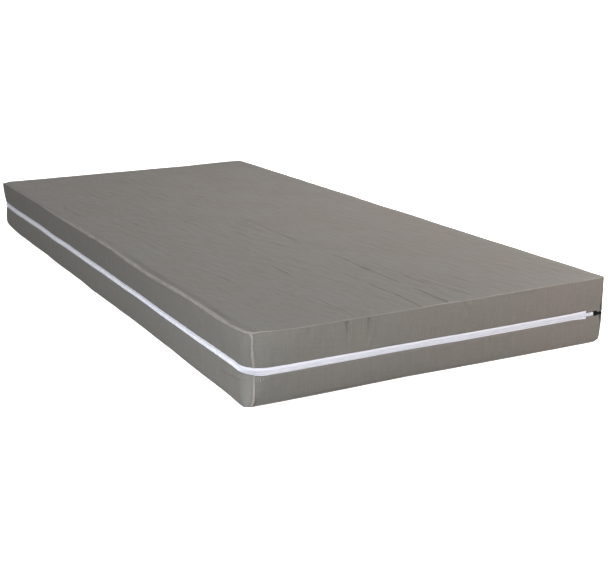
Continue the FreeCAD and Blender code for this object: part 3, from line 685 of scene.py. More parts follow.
def border_points(side, upper):
    """One border as a grid of rows that run upwards, with its cloth coordinates."""
    z_rows, offsets = border_rows(upper)
    low, high = sorted((z_rows[-1], WINDOW_HIGH if upper else WINDOW_LOW))
    grid, uv = [], []
    path = travelled(np.column_stack([z_rows, offsets]))
    share = np.abs(z_rows - z_rows[HEM_ROWS - 1]) / (high - low)
    share[:HEM_ROWS] = 0
    for z, offset, v, t in zip(z_rows, offsets, path, share):
        place, normal, run = side_line(side, z, FINENESS[side])
        out = offset + border_relief(side, run, z, low, high)
        flat = place + normal * out[:, None]
        reach = hem_reach(side, upper, run) * (1 - t) ** 3
        grid.append(np.column_stack([flat, z - reach if upper else z + reach]))
        uv.append(np.column_stack([run + RUN_START[side], np.full(len(flat), v)]))
    grid, uv = np.array(grid), np.array(uv)
    return (grid, uv) if upper else (grid[::-1], uv[::-1])


def make_borders():
    """The borders above and below the zip, and their grids, on which seams and stitches lie."""
    made = {}
    for side in ("foot", "head", "left"):
        for upper in (True, False):
            level = "upper" if upper else "lower"
            node = f"{level}_border_{side}"
            grid, uv = border_points(side, upper)
            made[level, side] = settle(grid)
            obj = cloth_grid(f"{node}_cloth", made[level, side], uv)
            # The lower borders get copies of the cover cloth with painted shade or painted light: darker at
            # the foot and head, lighter on the left.
            fabric = "cover" if upper else f"{side}_lower_cover"
            stand_for(obj, fabric, BODY[level], node)
    return made


def right_border_points():
    """The plain border of the right side, from the bottom edge to the top edge."""
    z_rows = np.linspace(EDGE_RISE, EDGE_TOP, 2 * BORDER_ROWS + 1)
    grid, uv = [], []
    for z in z_rows:
        t = z / HEIGHT
        place, normal, run = side_line("right", z, FINENESS["right"])
        offset = 0.0016 * math.sin(math.pi * t) - 0.0015 * max(0.0, 1 - t / 0.12) ** 2
        crease = -0.0012 * bump(z, FOLD, 0.004)
        inner = smoothstep(HALF_L - 0.004, HALF_L - 0.05, np.abs(run))
        level = smoothstep(0, 0.1, t) * smoothstep(1, 0.9, t)
        around = (RUN_START["right"] + run) / PERIMETER
        relief = 0.0016 * noise(51, run / 0.22, z / 0.07, 2)
        relief = relief + sample(BORDER_WRINKLES, around, np.full_like(around, 0.2 + 0.6 * t))
        out = offset + crease + inner * level * relief
        flat = place + normal * out[:, None]
        grid.append(np.column_stack([flat, np.full(len(flat), z)]))
        uv.append(np.column_stack([run, np.full(len(flat), z)]))
    return np.array(grid), np.array(uv)


def make_sheets():
    """The top sheet, and the right border with a crease where the cover opens."""
    points, uv = top_points()
    points = settle(points)
    obj = cloth_grid("top_sheet_cloth", points, uv)
    stand_for(obj, "cover", "top", "top_sheet")

    grid, uv = right_border_points()
    grid = settle(grid)
    obj = cloth_grid("right_border_cloth", grid, uv)
    dress(obj, "cover")
    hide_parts("lower_border_right", "upper_border_right")
    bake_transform(obj)
    return points, grid


# ---- materials
COVER = (0.200, 0.184, 0.166)
# The warm and cool tones carry the random mottle and a painted light tint that warms towards the right.
COVER_WARM = (0.218, 0.190, 0.170)
COVER_COOL = (0.183, 0.182, 0.168)
COVER_DARK = (0.135, 0.124, 0.112)
COVER_LIGHT = (0.262, 0.242, 0.220)
SEAM = (0.195, 0.179, 0.162)
SEAM_PALE = (0.380, 0.355, 0.325)
ZIP_WHITE = (0.79, 0.79, 0.87)
ZIP_SHADE = (0.73, 0.73, 0.81)
SLIDER_BLACK = (0.005, 0.005, 0.006)
WEAVE_PERIOD = 0.0011
# How strongly the seams are painted pale as a highlight, from the left side (0) to the right side (1).
SEAM_PAINTED_HIGHLIGHT = ((0.0, 0.55), (0.004, 0.65), (0.03, 0.65), (0.08, 0.20), (0.28, 0.15), (0.50, 0.35), (1.0, 0.40))


def new_material(name, colour, roughness, **settings):
    """A material with its principled shader's own sockets set."""
    mat = bpy.data.materials.new(name)
    mat.use_nodes = True
    shader = mat.node_tree.nodes["Principled BSDF"]
    shader.inputs["Base Color"].default_value = (*colour, 1)
    shader.inputs["Roughness"].default_value = roughness
    for key, setting in settings.items():
        shader.inputs[key.replace("_", " ").title().replace("Ior", "IOR")].default_value = setting
    return mat, mat.node_tree, shader


def connect(tree, socket, value):
    """Links a node's output to a socket, or sets the socket to a plain value."""
    if isinstance(value, bpy.types.NodeSocket):
        tree.links.new(value, socket)
    else:
        socket.default_value = value


def add_node(tree, kind, **inputs):
    """A shader node with its inputs linked or set by name."""
    node = tree.nodes.new(f"ShaderNode{kind}")
    for key, value in inputs.items():
        connect(tree, node.inputs[key.replace("_", " ")], value)
    return node


def cloth_place(tree):
    """A place on the cloth, in metres along it and across it."""
    node = add_node(tree, "UVMap")
    node.uv_map = "cloth"
    return node.outputs["UV"]


def object_place(tree):
    return add_node(tree, "TexCoord").outputs["Object"]


def object_axes(tree):
    """The outputs X, Y and Z of a place in the object."""
    return add_node(tree, "SeparateXYZ", Vector=object_place(tree)).outputs


def noise_node(tree, source, scale, detail=2.0, roughness=0.5):
    """Noise with a scale of its own along each axis, in lumps a metre."""
    place = add_node(tree, "Mapping", Vector=source, Scale=scale).outputs["Vector"]
    node = add_node(tree, "TexNoise", Vector=place, Scale=1, Detail=detail, Roughness=roughness)
    return node.outputs["Fac"]


def bands_node(tree, source, period, direction):
    """Stripes of a period in metres, for the threads of a weave."""
    scale = 2 * math.pi / (20 * period)
    node = add_node(tree, "TexWave", Vector=source, Scale=scale, Distortion=0.6, Detail=1)
    node.bands_direction = direction
    return node.outputs["Fac"]


def math_node(tree, operation, a, b):
    node = add_node(tree, "Math")
    node.operation = operation
    for socket, value in zip(node.inputs, (a, b)):
        connect(tree, socket, value)
    return node.outputs[0]


def times(tree, a, b):
    return math_node(tree, "MULTIPLY", a, b)


def plus(tree, a, b):
    return math_node(tree, "ADD", a, b)


def mix_colour(tree, factor, a, b):
    """Colour a where the factor is 0, and colour b where it's 1."""
    node = add_node(tree, "Mix")
    node.data_type = "RGBA"
    tree.links.new(factor, node.inputs["Factor"])
    for name, value in (("A", a), ("B", b)):
        socket = next(s for s in node.inputs if s.name == name and s.type == "RGBA")
        connect(tree, socket, (*value, 1) if isinstance(value, tuple) else value)
    return next(s for s in node.outputs if s.type == "RGBA")


def spread(tree, source, low, high):
    """A 0 to 1 value that rises as the source goes from low to high."""
    node = add_node(tree, "MapRange", From_Min=low, From_Max=high)
    tree.links.new(source, node.inputs["Value"])
    return node.outputs["Result"]


def bump_node(tree, height, distance, strength, under=None):
    """Relief of a height in metres, laid over the relief `under` it."""
    node = add_node(tree, "Bump", Height=height, Distance=distance, Strength=strength)
    if under:
        tree.links.new(under, node.inputs["Normal"])
    return node.outputs["Normal"]


def cover_material(name, shade):
    """Coated stretch weave: taupe grey, slubs along the warp, mottled, with a soft sheen.

    It has a painted cool light tint towards the left side and the near corner, and a painted warm light tint
    towards the right.
    """
    tones = (COVER, COVER_WARM, COVER_COOL, COVER_DARK, COVER_LIGHT)
    # `shade` scales every tone: below 1 it is painted shade, above 1 painted light.
    plain, warm, cool, dark, pale = (tuple(shade * c for c in tone) for tone in tones)
    mat, tree, shader = new_material(
        name, plain, 0.60, sheen_weight=0.05, sheen_roughness=0.5, specular_ior_level=0.25
    )
    place = cloth_place(tree)
    slub = spread(tree, noise_node(tree, place, (330, 16, 1), 3, 0.6), 0.36, 0.66)  # thick threads
    weft = spread(tree, noise_node(tree, place, (24, 420, 1), 2, 0.5), 0.36, 0.64)
    mottle = spread(tree, noise_node(tree, place, (7, 5, 1), 3, 0.55), 0.35, 0.65)
    speckle = spread(tree, noise_node(tree, place, (160, 110, 1), 3, 0.65), 0.35, 0.68)
    threads = times(tree, *(bands_node(tree, place, WEAVE_PERIOD, axis) for axis in "XY"))
    crumple = noise_node(tree, place, (95, 34, 1), 4, 0.6)
    where = object_axes(tree)
    # Painted light tint: cooler towards the left and the near corner, warmer towards the right, mixed with the
    # mottle.
    rightward = plus(tree, times(tree, where["X"], 0.89), times(tree, where["Y"], 0.15))
    mottle_and_painted_tint = plus(tree, times(tree, mottle, 0.35), times(tree, spread(tree, rightward, -0.45, 0.10), 0.65))
    tint = mix_colour(tree, mottle_and_painted_tint, cool, warm)
    streaked = mix_colour(tree, times(tree, slub, 0.34), tint, dark)
    crossed = mix_colour(tree, times(tree, weft, 0.16), streaked, pale)
    spotted = mix_colour(tree, times(tree, speckle, 0.20), crossed, dark)
    tree.links.new(spotted, shader.inputs["Base Color"])
    tree.links.new(plus(tree, times(tree, mottle, 0.10), 0.55), shader.inputs["Roughness"])
    normal = bump_node(tree, crumple, 0.0020, 0.45)
    normal = bump_node(tree, slub, 0.0003, 0.45, normal)
    normal = bump_node(tree, threads, 0.00015, 0.5, normal)
    tree.links.new(normal, shader.inputs["Normal"])
    return mat


def seam_material(name, highlight_colour):
    """The rolled edges: the same cloth, with a painted highlight along the left side and a little on the
    right.
    """
    mat, tree, shader = new_material(name, SEAM, 0.62, sheen_weight=0.15, sheen_roughness=0.5)
    place = cloth_place(tree)
    where = object_axes(tree)
    painted_highlight_curve = add_node(tree, "FloatCurve", Value=spread(tree, where["X"], -HALF_W, HALF_W))
    points = painted_highlight_curve.mapping.curves[0].points
    points[0].location, points[1].location = SEAM_PAINTED_HIGHLIGHT[0], SEAM_PAINTED_HIGHLIGHT[-1]
    for point in SEAM_PAINTED_HIGHLIGHT[1:-1]:
        points.new(*point)
    painted_highlight_curve.mapping.update()
    # Painted highlight: the seams are drawn pale, strongest on the left and towards the foot, broken up by
    # noise.
    highlight_breakup = spread(tree, noise_node(tree, place, (40, 200, 1), 3, 0.6), 0.25, 0.60)
    pale = times(tree, times(tree, highlight_breakup, painted_highlight_curve.outputs["Value"]), spread(tree, where["Y"], 1.1, 0.1))
    tree.links.new(mix_colour(tree, pale, SEAM, highlight_colour), shader.inputs["Base Color"])
    gather = noise_node(tree, place, (260, 60, 1), 2, 0.5)
    tree.links.new(bump_node(tree, gather, 0.0008, 0.5), shader.inputs["Normal"])
    return mat


def tape_material():
    """White woven zip tape with fine ribs along it."""
    mat, tree, shader = new_material("zip_tape", ZIP_WHITE, 0.75, sheen_weight=0.2, sheen_roughness=0.4)
    place = cloth_place(tree)
    weave = times(tree, bands_node(tree, place, 0.0009, "Y"), bands_node(tree, place, 0.0007, "X"))
    soil = noise_node(tree, place, (14, 60, 1), 3, 0.6)
    tree.links.new(mix_colour(tree, soil, ZIP_WHITE, ZIP_SHADE), shader.inputs["Base Color"])
    tree.links.new(bump_node(tree, weave, 0.0003, 0.6), shader.inputs["Normal"])
    return mat


def plain_material(name, colour, roughness, grain, depth, **settings):
    """Moulded, lacquered or foamed surfaces: a colour that varies a little, and a fine grain."""
    mat, tree, shader = new_material(name, colour, roughness, **settings)
    place = object_place(tree)
    cloud = noise_node(tree, place, (grain * 0.08,) * 3, 3, 0.6)
    darker = tuple(c * 0.86 for c in colour)
    tree.links.new(mix_colour(tree, cloud, colour, darker), shader.inputs["Base Color"])
    fine = noise_node(tree, place, (grain,) * 3, 3, 0.6)
    tree.links.new(bump_node(tree, fine, depth, 0.6), shader.inputs["Normal"])
    return mat


def foam_material(name, colour):
    """Open-cell foam: pores of about a millimetre."""
    mat, tree, shader = new_material(name, colour, 0.92, sheen_weight=0.25, sheen_roughness=0.6)
    place = object_place(tree)
    cells = add_node(tree, "TexVoronoi", Vector=place, Scale=700)
    cloud = noise_node(tree, place, (18, 18, 18), 3, 0.6)
    darker = tuple(c * 0.84 for c in colour)
    tree.links.new(mix_colour(tree, cloud, colour, darker), shader.inputs["Base Color"])
    normal = bump_node(tree, cells.outputs["Distance"], 0.0008, 0.7)
    tree.links.new(normal, shader.inputs["Normal"])
    return mat


MATERIALS = {
    "cover": cover_material("cover_fabric", 1.0),
    # Copies of the cover cloth for the lower borders, with painted shade at the foot and head and painted
    # light on the left.
    "foot_lower_cover": cover_material("cover_fabric_foot_lower_painted_shade", 0.90),
    "left_lower_cover": cover_material("cover_fabric_left_lower_painted_light", 1.07),
    "head_lower_cover": cover_material("cover_fabric_head_lower_painted_shade", 0.97),
    # The seams' pale colours are painted highlights.
    "seam": seam_material("seam_fabric", SEAM_PALE),
    "bottom_seam": seam_material("bottom_seam_fabric", COVER_LIGHT),
    "tape": tape_material(),
    # The coil is drawn brighter than the tape: painted light that offsets the shade between its loops.
    "coil": plain_material("zip_coil", (0.90, 0.90, 0.97), 0.45, 900, 0.0001),
    "stop": plain_material("zip_stop", (0.78, 0.78, 0.84), 0.45, 700, 0.0002),
    "thread": plain_material("thread", (0.27, 0.25, 0.23), 0.7, 2500, 0.0002),
    "tack": plain_material("tack_thread", (0.50, 0.48, 0.46), 0.7, 2500, 0.0002),
    "slider": plain_material("slider_lacquer", SLIDER_BLACK, 0.42, 500, 0.0001, specular_ior_level=0.25),
    "top_foam": foam_material("top_foam", (0.80, 0.76, 0.64)),
    "base_foam": foam_material("base_foam", (0.33, 0.42, 0.55)),
    "bolster_foam": foam_material("bolster_foam", (0.60, 0.62, 0.62)),
}


def dress(obj, key):
    """Gives a piece its material."""
    obj.data.materials.clear()
    obj.data.materials.append(MATERIALS[key])


# ---- seams
ROLL_POINTS = 10  # round a seam


def roll_profile(count, half_width, height):
    """A flattened round, with one shape per path point."""
    a = np.linspace(0, 2 * math.pi, count, endpoint=False)
    shape = np.stack([np.cos(a), np.sin(a)], -1)
    size = np.stack([half_width, height], -1)
    return shape[None] * size[:, None]


def edge_curve(points):
    """The outer boundary of a sheet grid as one closed loop."""
    loop = [points[0, :-1], points[:-1, -1], points[-1, :0:-1], points[:0:-1, 0]]
    return np.concatenate(loop)


def make_edge_roll(name, node, body, loop, lift):
    """The seam round the top or bottom edge, of uneven width."""
    before, after = np.roll(loop, 1, axis=0), np.roll(loop, -1, axis=0)
    along = unit(after - before)
    ridge = unit(unit(np.cross(along, UP)) + lift * UP)
    across = unit(np.cross(along, ridge))
    x, y = loop[:, 0], loop[:, 1]
    left = smoothstep(-HALF_W + 0.05, -HALF_W, x)
    vary = noise(61, x / 0.05 + y / 0.045, y / 0.30, 2)
    swell = left * np.interp(y, RIDGE_AT, RIDGE) * (body == "top")
    half_width = 0.0012 + swell + (0.0003 + 0.0005 * left) * vary
    height = 0.0010 + 0.8 * swell + 0.0003 * vary
    profile = roll_profile(ROLL_POINTS, half_width, height)
    obj = sweep(name, loop, across, ridge, profile, closed_path=True)
    stand_for(obj, "seam" if body == "top" else "bottom_seam", body, node)


def make_corner_rolls(borders, right_grid):
    """The upright seam at each corner, above and below the zip."""
    corners = {
        # corner: the side and column that hold its seam, and its direction from the middle
        "foot_left": ("foot", 0, (-1, -1)),
        "head_left": ("head", -1, (-1, 1)),
        "foot_right": ("foot", -1, (1, -1)),
        "head_right": ("head", 0, (1, 1)),
    }
    for corner, (side, column, signs) in corners.items():
        out = unit(np.array([*signs, 0.0]))
        for level in ("upper", "lower"):
            upper = level == "upper"
            line = borders[level, side][:, column]
            line = line[HEM_ROWS - 1:] if upper else line[:-HEM_ROWS + 1]
            if corner.endswith("right"):
                line = right_grid[:, 0 if corner.startswith("foot") else -1]
                past_fold = (line[:, 2] - FOLD) * (1 if upper else -1)
                line = line[past_fold > SEAM_CLEARANCE]
            across = np.tile(unit(np.cross(UP, out)), (len(line), 1))
            ridge = np.tile(out, (len(line), 1))
            vary = noise(71, line[:, 2] / 0.02, signs[0] + 3 * signs[1], 2)
            size = 1.5 if corner == "foot_left" else 1.0
            half_width, height = size * (0.0018 + 0.0004 * vary), size * (0.0016 + 0.0003 * vary)
            profile = roll_profile(ROLL_POINTS, half_width, height)
            name = f"{level}_seam_{corner}"
            obj = sweep(f"{name}_roll", line, across, ridge, profile)
            stand_for(obj, "seam", BODY[level], name)


STITCH_PITCH = 0.0032
STITCH_THREAD = 0.00019
BAR_TACK_X = (-0.4290, -0.4250, -0.4210, -0.4170)  # rows of the tack below the zip, near the corner
BAR_TACK_LOW = 0.048
BAR_TACK_THREAD = 1.8 * STITCH_THREAD


def stitch_row(name, line, out, body, key, thread):
    """A row of lockstitches along a line on the cloth. Each one dips into the cloth at both ends."""
    travel = travelled(line)
    middles = np.arange(STITCH_PITCH, travel[-1] - STITCH_PITCH, STITCH_PITCH)
    along = np.array([-1, -0.6, 0.6, 1]) * 0.40 * STITCH_PITCH
    lift = np.array([-0.9, 0.7, 0.7, -0.9]) * thread
    size = np.array([0.6, 1, 1, 0.6]) * thread
    at = middles[:, None] + along[None]
    centre = np.stack([np.interp(at, travel, line[:, k]) for k in range(3)], -1)
    outward = unit(np.stack([np.interp(at, travel, out[:, k]) for k in range(3)], -1))
    tangent = unit(np.gradient(centre, axis=1))
    across = unit(np.cross(tangent, outward))
    ring = np.linspace(0, 2 * math.pi, 6, endpoint=False)
    points = (centre + outward * lift[None, :, None])[:, :, None] + size[None, :, None, None] * (
        np.cos(ring)[None, None, :, None] * across[:, :, None]
        + np.sin(ring)[None, None, :, None] * outward[:, :, None]
    )
    one = grid_faces(len(along), len(ring), wrap_columns=True)
    obj = new_mesh(name, points, copies(one, len(along) * len(ring), len(middles)))
    recalculate_normals(obj)
    dress(obj, key)
    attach(obj, body)


def make_hem_stitches(borders):
    """The rows that hold the zip's tapes in the borders' hems."""
    for (level, side), grid in borders.items():
        row = HEM_ROWS if level == "upper" else len(grid) - 1 - HEM_ROWS
        line = grid[row]
        sideways = np.gradient(line, axis=0)
        upwards = grid[row + 1] - grid[row - 1]
        out = unit(np.cross(sideways, upwards))
        if np.dot(out[len(out) // 2, :2], SIDES[side][1]) < 0:
            out = -out
        clear = np.abs(line[:, 0]) < GARAGE_X if side != "left" else np.full(len(line), True)
        name = f"{level}_hem_stitches_{side}"
        stitch_row(name, line[clear], out[clear], BODY[level], "thread", STITCH_THREAD)
    grid = borders["lower", "foot"]
    for number, x in enumerate(BAR_TACK_X):
        column = int(np.argmin(np.abs(grid[-10, :, 0] - x)))
        line = grid[:, column]
        low = BAR_TACK_LOW + 0.002 * (number % 2)
        line = line[(line[:, 2] > low) & (line[:, 2] < WINDOW_LOW + 0.003)]
        out = np.tile([0.0, -1.0, 0.0], (len(line), 1))
        stitch_row(f"bar_tack_row_{number + 1}", line, out, "base", "tack", BAR_TACK_THREAD)


# ---- the zip
def zip_path(inset, end_x, step):
    """(points, tangents, outward normals) round the foot, left and head sides at an inset."""
    outer = [CORNER_RADII[corner][1] for corner in ("foot_left", "head_left")]
    r1, r2 = (radius - inset for radius in outer)
    straight = end_x + HALF_W
    lengths = np.array([
        straight - outer[0], r1 * math.pi / 2, 2 * HALF_L - sum(outer), r2 * math.pi / 2, straight - outer[1],
    ])
    starts = np.cumsum(lengths) - lengths
    s = np.linspace(0, lengths.sum(), round(lengths.sum() / step) + 1)
    foot, bend1, left, bend2, head = np.clip(s[None] - starts[:, None], 0, lengths[:, None])
    a1, a2 = bend1 / r1, bend2 / r2
    turn = a1 + a2
    x = end_x - foot - r1 * np.sin(a1) + r2 * (1 - np.cos(a2)) + head
    y = -HALF_L + inset + r1 * (1 - np.cos(a1)) + left + r2 * np.sin(a2)
    tangent = np.stack([-np.cos(turn), np.sin(turn), np.zeros_like(s)], -1)
    normal = np.stack([-np.sin(turn), -np.cos(turn), np.zeros_like(s)], -1)
    return np.stack([x, y, np.zeros_like(s)], -1), tangent, normal


BAND_STEP = 0.005


def strip(name, end_x, outer, low, high, thick):
    """A flat band of the zip, such as a tape, round the three sides."""
    points, _, normal = zip_path(outer, end_x, BAND_STEP)
    up = np.tile(UP, (len(points), 1))
    z = np.linspace(low, high, 8)
    front = np.stack([z, np.zeros_like(z)], -1)
    back = np.stack([z[::-1], np.full_like(z, -thick)], -1)
    obj = sweep(name, points, up, normal, np.concatenate([front, back]))
    points = np.array([v.co for v in obj.data.vertices])
    obj.data.vertices.foreach_set("co", settle(points).ravel())
    obj.data.update()
    for loop, place in zip(obj.data.loops, obj.data.uv_layers["cloth"].data):
        place.uv.y = points[loop.vertex_index, 2]  # the ribs run along the tape
    return obj


TOOTH_PITCH = 0.0015
THREAD = 0.00054
COIL_GAP = 0.0004  # how far each coil's loops reach past the zip's middle


def coil(name, end_x, towards):
    """The loops of one coil. `towards` is 1 for the upper coil and -1 for the lower one."""
    base, tangent, normal = zip_path(TAPE_OUTER, end_x, TOOTH_PITCH)
    near = FOLD - towards * COIL_GAP
    far = COIL_HIGH if towards > 0 else COIL_LOW
    base = base + tangent * (TOOTH_PITCH / 4 * towards)
    rise = abs(far - near)
    depth = TAPE_OUTER - COIL_FRONT
    loop = np.array([  # along the zip, out from the tape, and away from the zip's middle
        (0.00045, 0.0003, 0.96 * rise), (0.00035, 0.75 * depth, 0.98 * rise),
        (0.0001, depth - THREAD, 0.72 * rise), (-0.0001, depth - THREAD, 0.26 * rise),
        (-0.0003, 0.66 * depth, 0.10 * rise), (-0.0003, 0.0003, 0.12 * rise),
    ])
    ring = np.linspace(0, 2 * math.pi, 6, endpoint=False)
    direction = unit(np.gradient(loop, axis=0))
    side = unit(np.cross(direction, [1.0, 0.0, 0.0]))
    other = np.cross(direction, side)
    round_thread = np.cos(ring)[:, None] * side[:, None] + np.sin(ring)[:, None] * other[:, None]
    tube = (loop[:, None] + THREAD * round_thread).reshape(-1, 3)
    points = base[:, None] + tangent[:, None] * tube[None, :, 0:1] + normal[:, None] * tube[None, :, 1:2]
    points[..., 2] = near + towards * tube[:, 2]
    one = grid_faces(len(loop), len(ring), wrap_columns=True)
    obj = new_mesh(name, settle(points), copies(one, len(tube), len(base)))
    recalculate_normals(obj)
    return obj


def make_zip():
    """The tapes and coils, and the CAD pieces at their ends."""
    bands = (
        # level, end of the zip in x, and heights of the tape's edges
        ("lower", ZIP_STOP_X, TAPE_LOW, FOLD - HALF_SLIT),
        ("upper", ZIP_OPENS_X + 0.0010, FOLD + HALF_SLIT, TAPE_HIGH),
    )
    for level, end_x, low, high in bands:
        body = BODY[level]
        tape = strip(f"{level}_zip_tape_woven", end_x, TAPE_OUTER, low, high, TAPE_THICK)
        stand_for(tape, "tape", body, f"{level}_zip_tape")
        teeth = coil(f"{level}_zip_coil_loops", end_x, 1 if level == "upper" else -1)
        stand_for(teeth, "coil", body, f"{level}_zip_coil")
    for side in ("foot", "head"):
        for part in ("tape", "coil"):
            finish_cad(f"upper_{part}_end_{side}", part, 0.0002)
        finish_cad(f"zip_stop_{side}", "stop", 0.0005)


def finish_cad(node, key, edge):
    """A CAD node that stays: softened edges and its material."""
    obj = next(o for o in bpy.context.scene.objects if o.get("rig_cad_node") == node)
    obj.data.materials.clear()
    obj.data.materials.append(MATERIALS[key])
    bevel = obj.modifiers.new("edges", "BEVEL")
    bevel.width = edge
    bevel.segments = 3
    bevel.limit_method = "ANGLE"


GARAGE_REACH = {"foot": 0.0105, "head": 0.0}  # how far the lips start before the CAD node
LIP = 0.0040  # how far the lips stand over the window's edges
LIP_ROOT = 0.003  # how far they reach under the borders' hems
LIP_CLOSER = 0.0016  # how much further the foot's lips stand over its open end
LIPS_CLOSE = (0.0135, 0.0115)  # the lips meet between these distances from the right side
LIPS_OPEN = (0.4232, 0.4206)  # the foot's lips stand further over the zip left of these places


def garage_line(side):
    """Places and outward normals along the zip's end, from its open part to the corner."""
    place, normal, _ = side_line(side, FOLD, 2)
    keep = place[:, 0] > GARAGE_X - GARAGE_REACH[side]
    order = -1 if side == "head" else 1
    return place[keep][::order], normal[keep][::order]


def make_garages():
    """The facings at the zip's ends: lips over the tape, and closed ends at the corner."""
    for side in ("foot", "head"):
        for level, body in BODY.items():
            node = f"{level}_zip_garage_{side}"
            inward, window = (-1, WINDOW_HIGH) if level == "upper" else (1, WINDOW_LOW)
            place, normal = garage_line(side)
            x = place[:, 0]
            closed = smoothstep(HALF_W - LIPS_CLOSE[0], HALF_W - LIPS_CLOSE[1], x)
            closer = LIP_CLOSER * smoothstep(*LIPS_OPEN, x) * (side == "foot")
            lip = window + inward * (LIP + closer)
            tip = lip + (FOLD - inward * HALF_SLIT - lip) * closed
            root = window - inward * LIP_ROOT
            grid = []
            for t in np.linspace(0, 1, 7):
                flat = place + normal * (0.0004 * math.sin(math.pi * t) - 0.0010)
                grid.append(np.column_stack([flat, root + (tip - root) * t]))
            grid = np.array(grid)
            if (level == "upper") == (side == "foot"):
                grid = grid[::-1]
            obj = cloth_grid(f"{node}_facing", grid, grid[..., [0, 2]])
            stand_for(obj, "cover", body, node)


# ---- the core
ZONE_BLOCKS = {
    # node: blocks across and along
    "heel_zone_foam": (10, 6),
    "leg_zone_foam": (6, 5),
    "torso_zone_foam": (8, 8),
    "head_zone_foam": (6, 3),
}
GROOVE = 0.006
GROOVE_DEPTH = 0.040
BLOCK_ROUND = 0.005
BOLSTER_ROUND = 0.014
BOLSTER_CORNERS = {"left": 0.050, "right": 0.020}
BASE_ROUND = 0.003


def block_line(low, high, blocks):
    """Positions across a row of blocks, and each one's share of the blocks' height."""
    pitch = (high - low) / blocks
    angles = np.linspace(0, math.pi / 2, 5)
    rise = 1 - (1 - np.sin(angles)) * BLOCK_ROUND / GROOVE_DEPTH
    inset = BLOCK_ROUND * (1 - np.cos(angles))
    line = []
    for k in range(blocks):
        first, last = k == 0, k == blocks - 1
        left = low + k * pitch + (0 if first else GROOVE / 2)
        right = low + (k + 1) * pitch - (0 if last else GROOVE / 2)
        line += [] if first else [(left, 0.0)]
        line += zip(left + inset, rise)
        line.append(((left + right) / 2, 1.0))
        line += zip(right - inset[::-1], rise[::-1])
        line += [] if last else [(right, 0.0)]
    return np.array(line).T


def make_zone(node):
    """One zone of the soft top layer, cut into rounded blocks."""
    low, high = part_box(node)
    across, down = ZONE_BLOCKS[node]
    x, share_x = block_line(low.x, high.x, across)
    y, share_y = block_line(low.y, high.y, down)
    gx, gy = np.meshgrid(x, y)
    surface = np.stack([gx, gy, high.z - GROOVE_DEPTH * (1 - share_y[:, None] * share_x)], -1)
    rows, columns = surface.shape[:2]
    index = np.arange(rows * columns).reshape(rows, columns)
    rim = np.concatenate([index[0, :-1], index[:-1, -1], index[-1, :0:-1], index[:0:-1, 0]])
    points = surface.reshape(-1, 3)
    skirt = points[rim] * (1, 1, 0) + (0, 0, low.z)
    foot = np.arange(len(rim)) + len(points)
    walls = np.stack([rim, foot, np.roll(foot, -1), np.roll(rim, -1)], -1)
    faces = grid_faces(rows, columns).tolist() + walls.tolist() + [foot[::-1].tolist()]
    obj = new_mesh(node.replace("_foam", "_blocks"), np.concatenate([points, skirt]), faces)
    obj.data.set_sharp_from_angle(angle=math.radians(50))
    recalculate_normals(obj)
    stand_for(obj, "top_foam", "base", node)


def soft_block(name, node, radius, key, outer_radius=None):
    """A foam block with rounded edges, as large as its CAD node. Its outer corners may be rounder."""
    low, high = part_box(node)
    mesh = bmesh.new()
    bmesh.ops.create_cube(mesh, size=1)
    centre, size = (low + high) / 2, high - low
    for v in mesh.verts:
        v.co = Vector(centre[i] + v.co[i] * size[i] for i in range(3))
    if outer_radius:
        outer = [
            e for e in mesh.edges
            if abs(e.verts[0].co.z - e.verts[1].co.z) > 0.01 and abs(e.verts[0].co.x) > abs(centre.x)
        ]
        bmesh.ops.bevel(mesh, geom=outer, offset=outer_radius, segments=8, profile=0.5, affect="EDGES")
    sharp = [e for e in mesh.edges if e.calc_face_angle(0) > 0.6]
    bmesh.ops.bevel(mesh, geom=sharp, offset=radius, segments=5, profile=0.5, affect="EDGES")
    data = bpy.data.meshes.new(name)
    mesh.to_mesh(data)
    mesh.free()
    data.polygons.foreach_set("use_smooth", np.ones(len(data.polygons), bool))
    data.set_sharp_from_angle(angle=math.radians(40))
    obj = bpy.data.objects.new(name, data)
    bpy.context.collection.objects.link(obj)
    stand_for(obj, key, "base", node)


def make_core():
    """The foam inside, which shows when the cover is open."""
    for node in ZONE_BLOCKS:
        make_zone(node)
    for side, corner in BOLSTER_CORNERS.items():
        soft_block(f"bolster_{side}_block", f"side_bolster_{side}", BOLSTER_ROUND, "bolster_foam", corner)
    soft_block("base_foam_block", "base_foam", BASE_ROUND, "base_foam")


def make_bottom():
    """The bottom sheet, flat on the floor, with its rounded edge."""
    x, y = sheet_plane(EDGE_RISE)
    z = EDGE_RISE * np.clip(1 - edge_inset(x, y, EDGE_RISE) / EDGE_SPAN, 0, 1) ** 2
    shrink_x, shrink_y = 1 - BOTTOM_INSET / HALF_W, 1 - BOTTOM_INSET / HALF_L
    grid = settle(np.stack([x * shrink_x, y * shrink_y, z], -1)[::3, ::3])
    uv = np.stack([x, y], -1)[::3, ::3]
    obj = cloth_grid("bottom_sheet_cloth", grid[:, ::-1], uv[:, ::-1])
    stand_for(obj, "cover", "base", "bottom_sheet")
    return grid


# ---- light and camera
FLOOR = -0.0006  # just under the cover
SKY = 0.52  # how strongly the room lights the object, above and below the horizon
BELOW = 0.24
LIGHTS = (
    # name, place, where it points, size, watts, colour
    ("right", (1.75, -0.30, 1.25), (0.1, -0.1, 0.1), (1.0, 1.6), 25, (1.0, 0.97, 0.95)),
    ("far", (1.3, 2.2, 1.5), (0, 0.4, 0.1), (1.4, 1.0), 3, (1.0, 1.0, 1.0)),
    ("front", (1.75, -3.1, 0.80), (0.25, -1.0, 0.1), (1.6, 0.9), 51, (1.0, 0.94, 0.89)),
    ("side", (-1.80, -1.85, 0.45), (-0.4, -0.9, 0.1), (0.8, 0.6), 26, (0.93, 0.97, 1.0)),
)


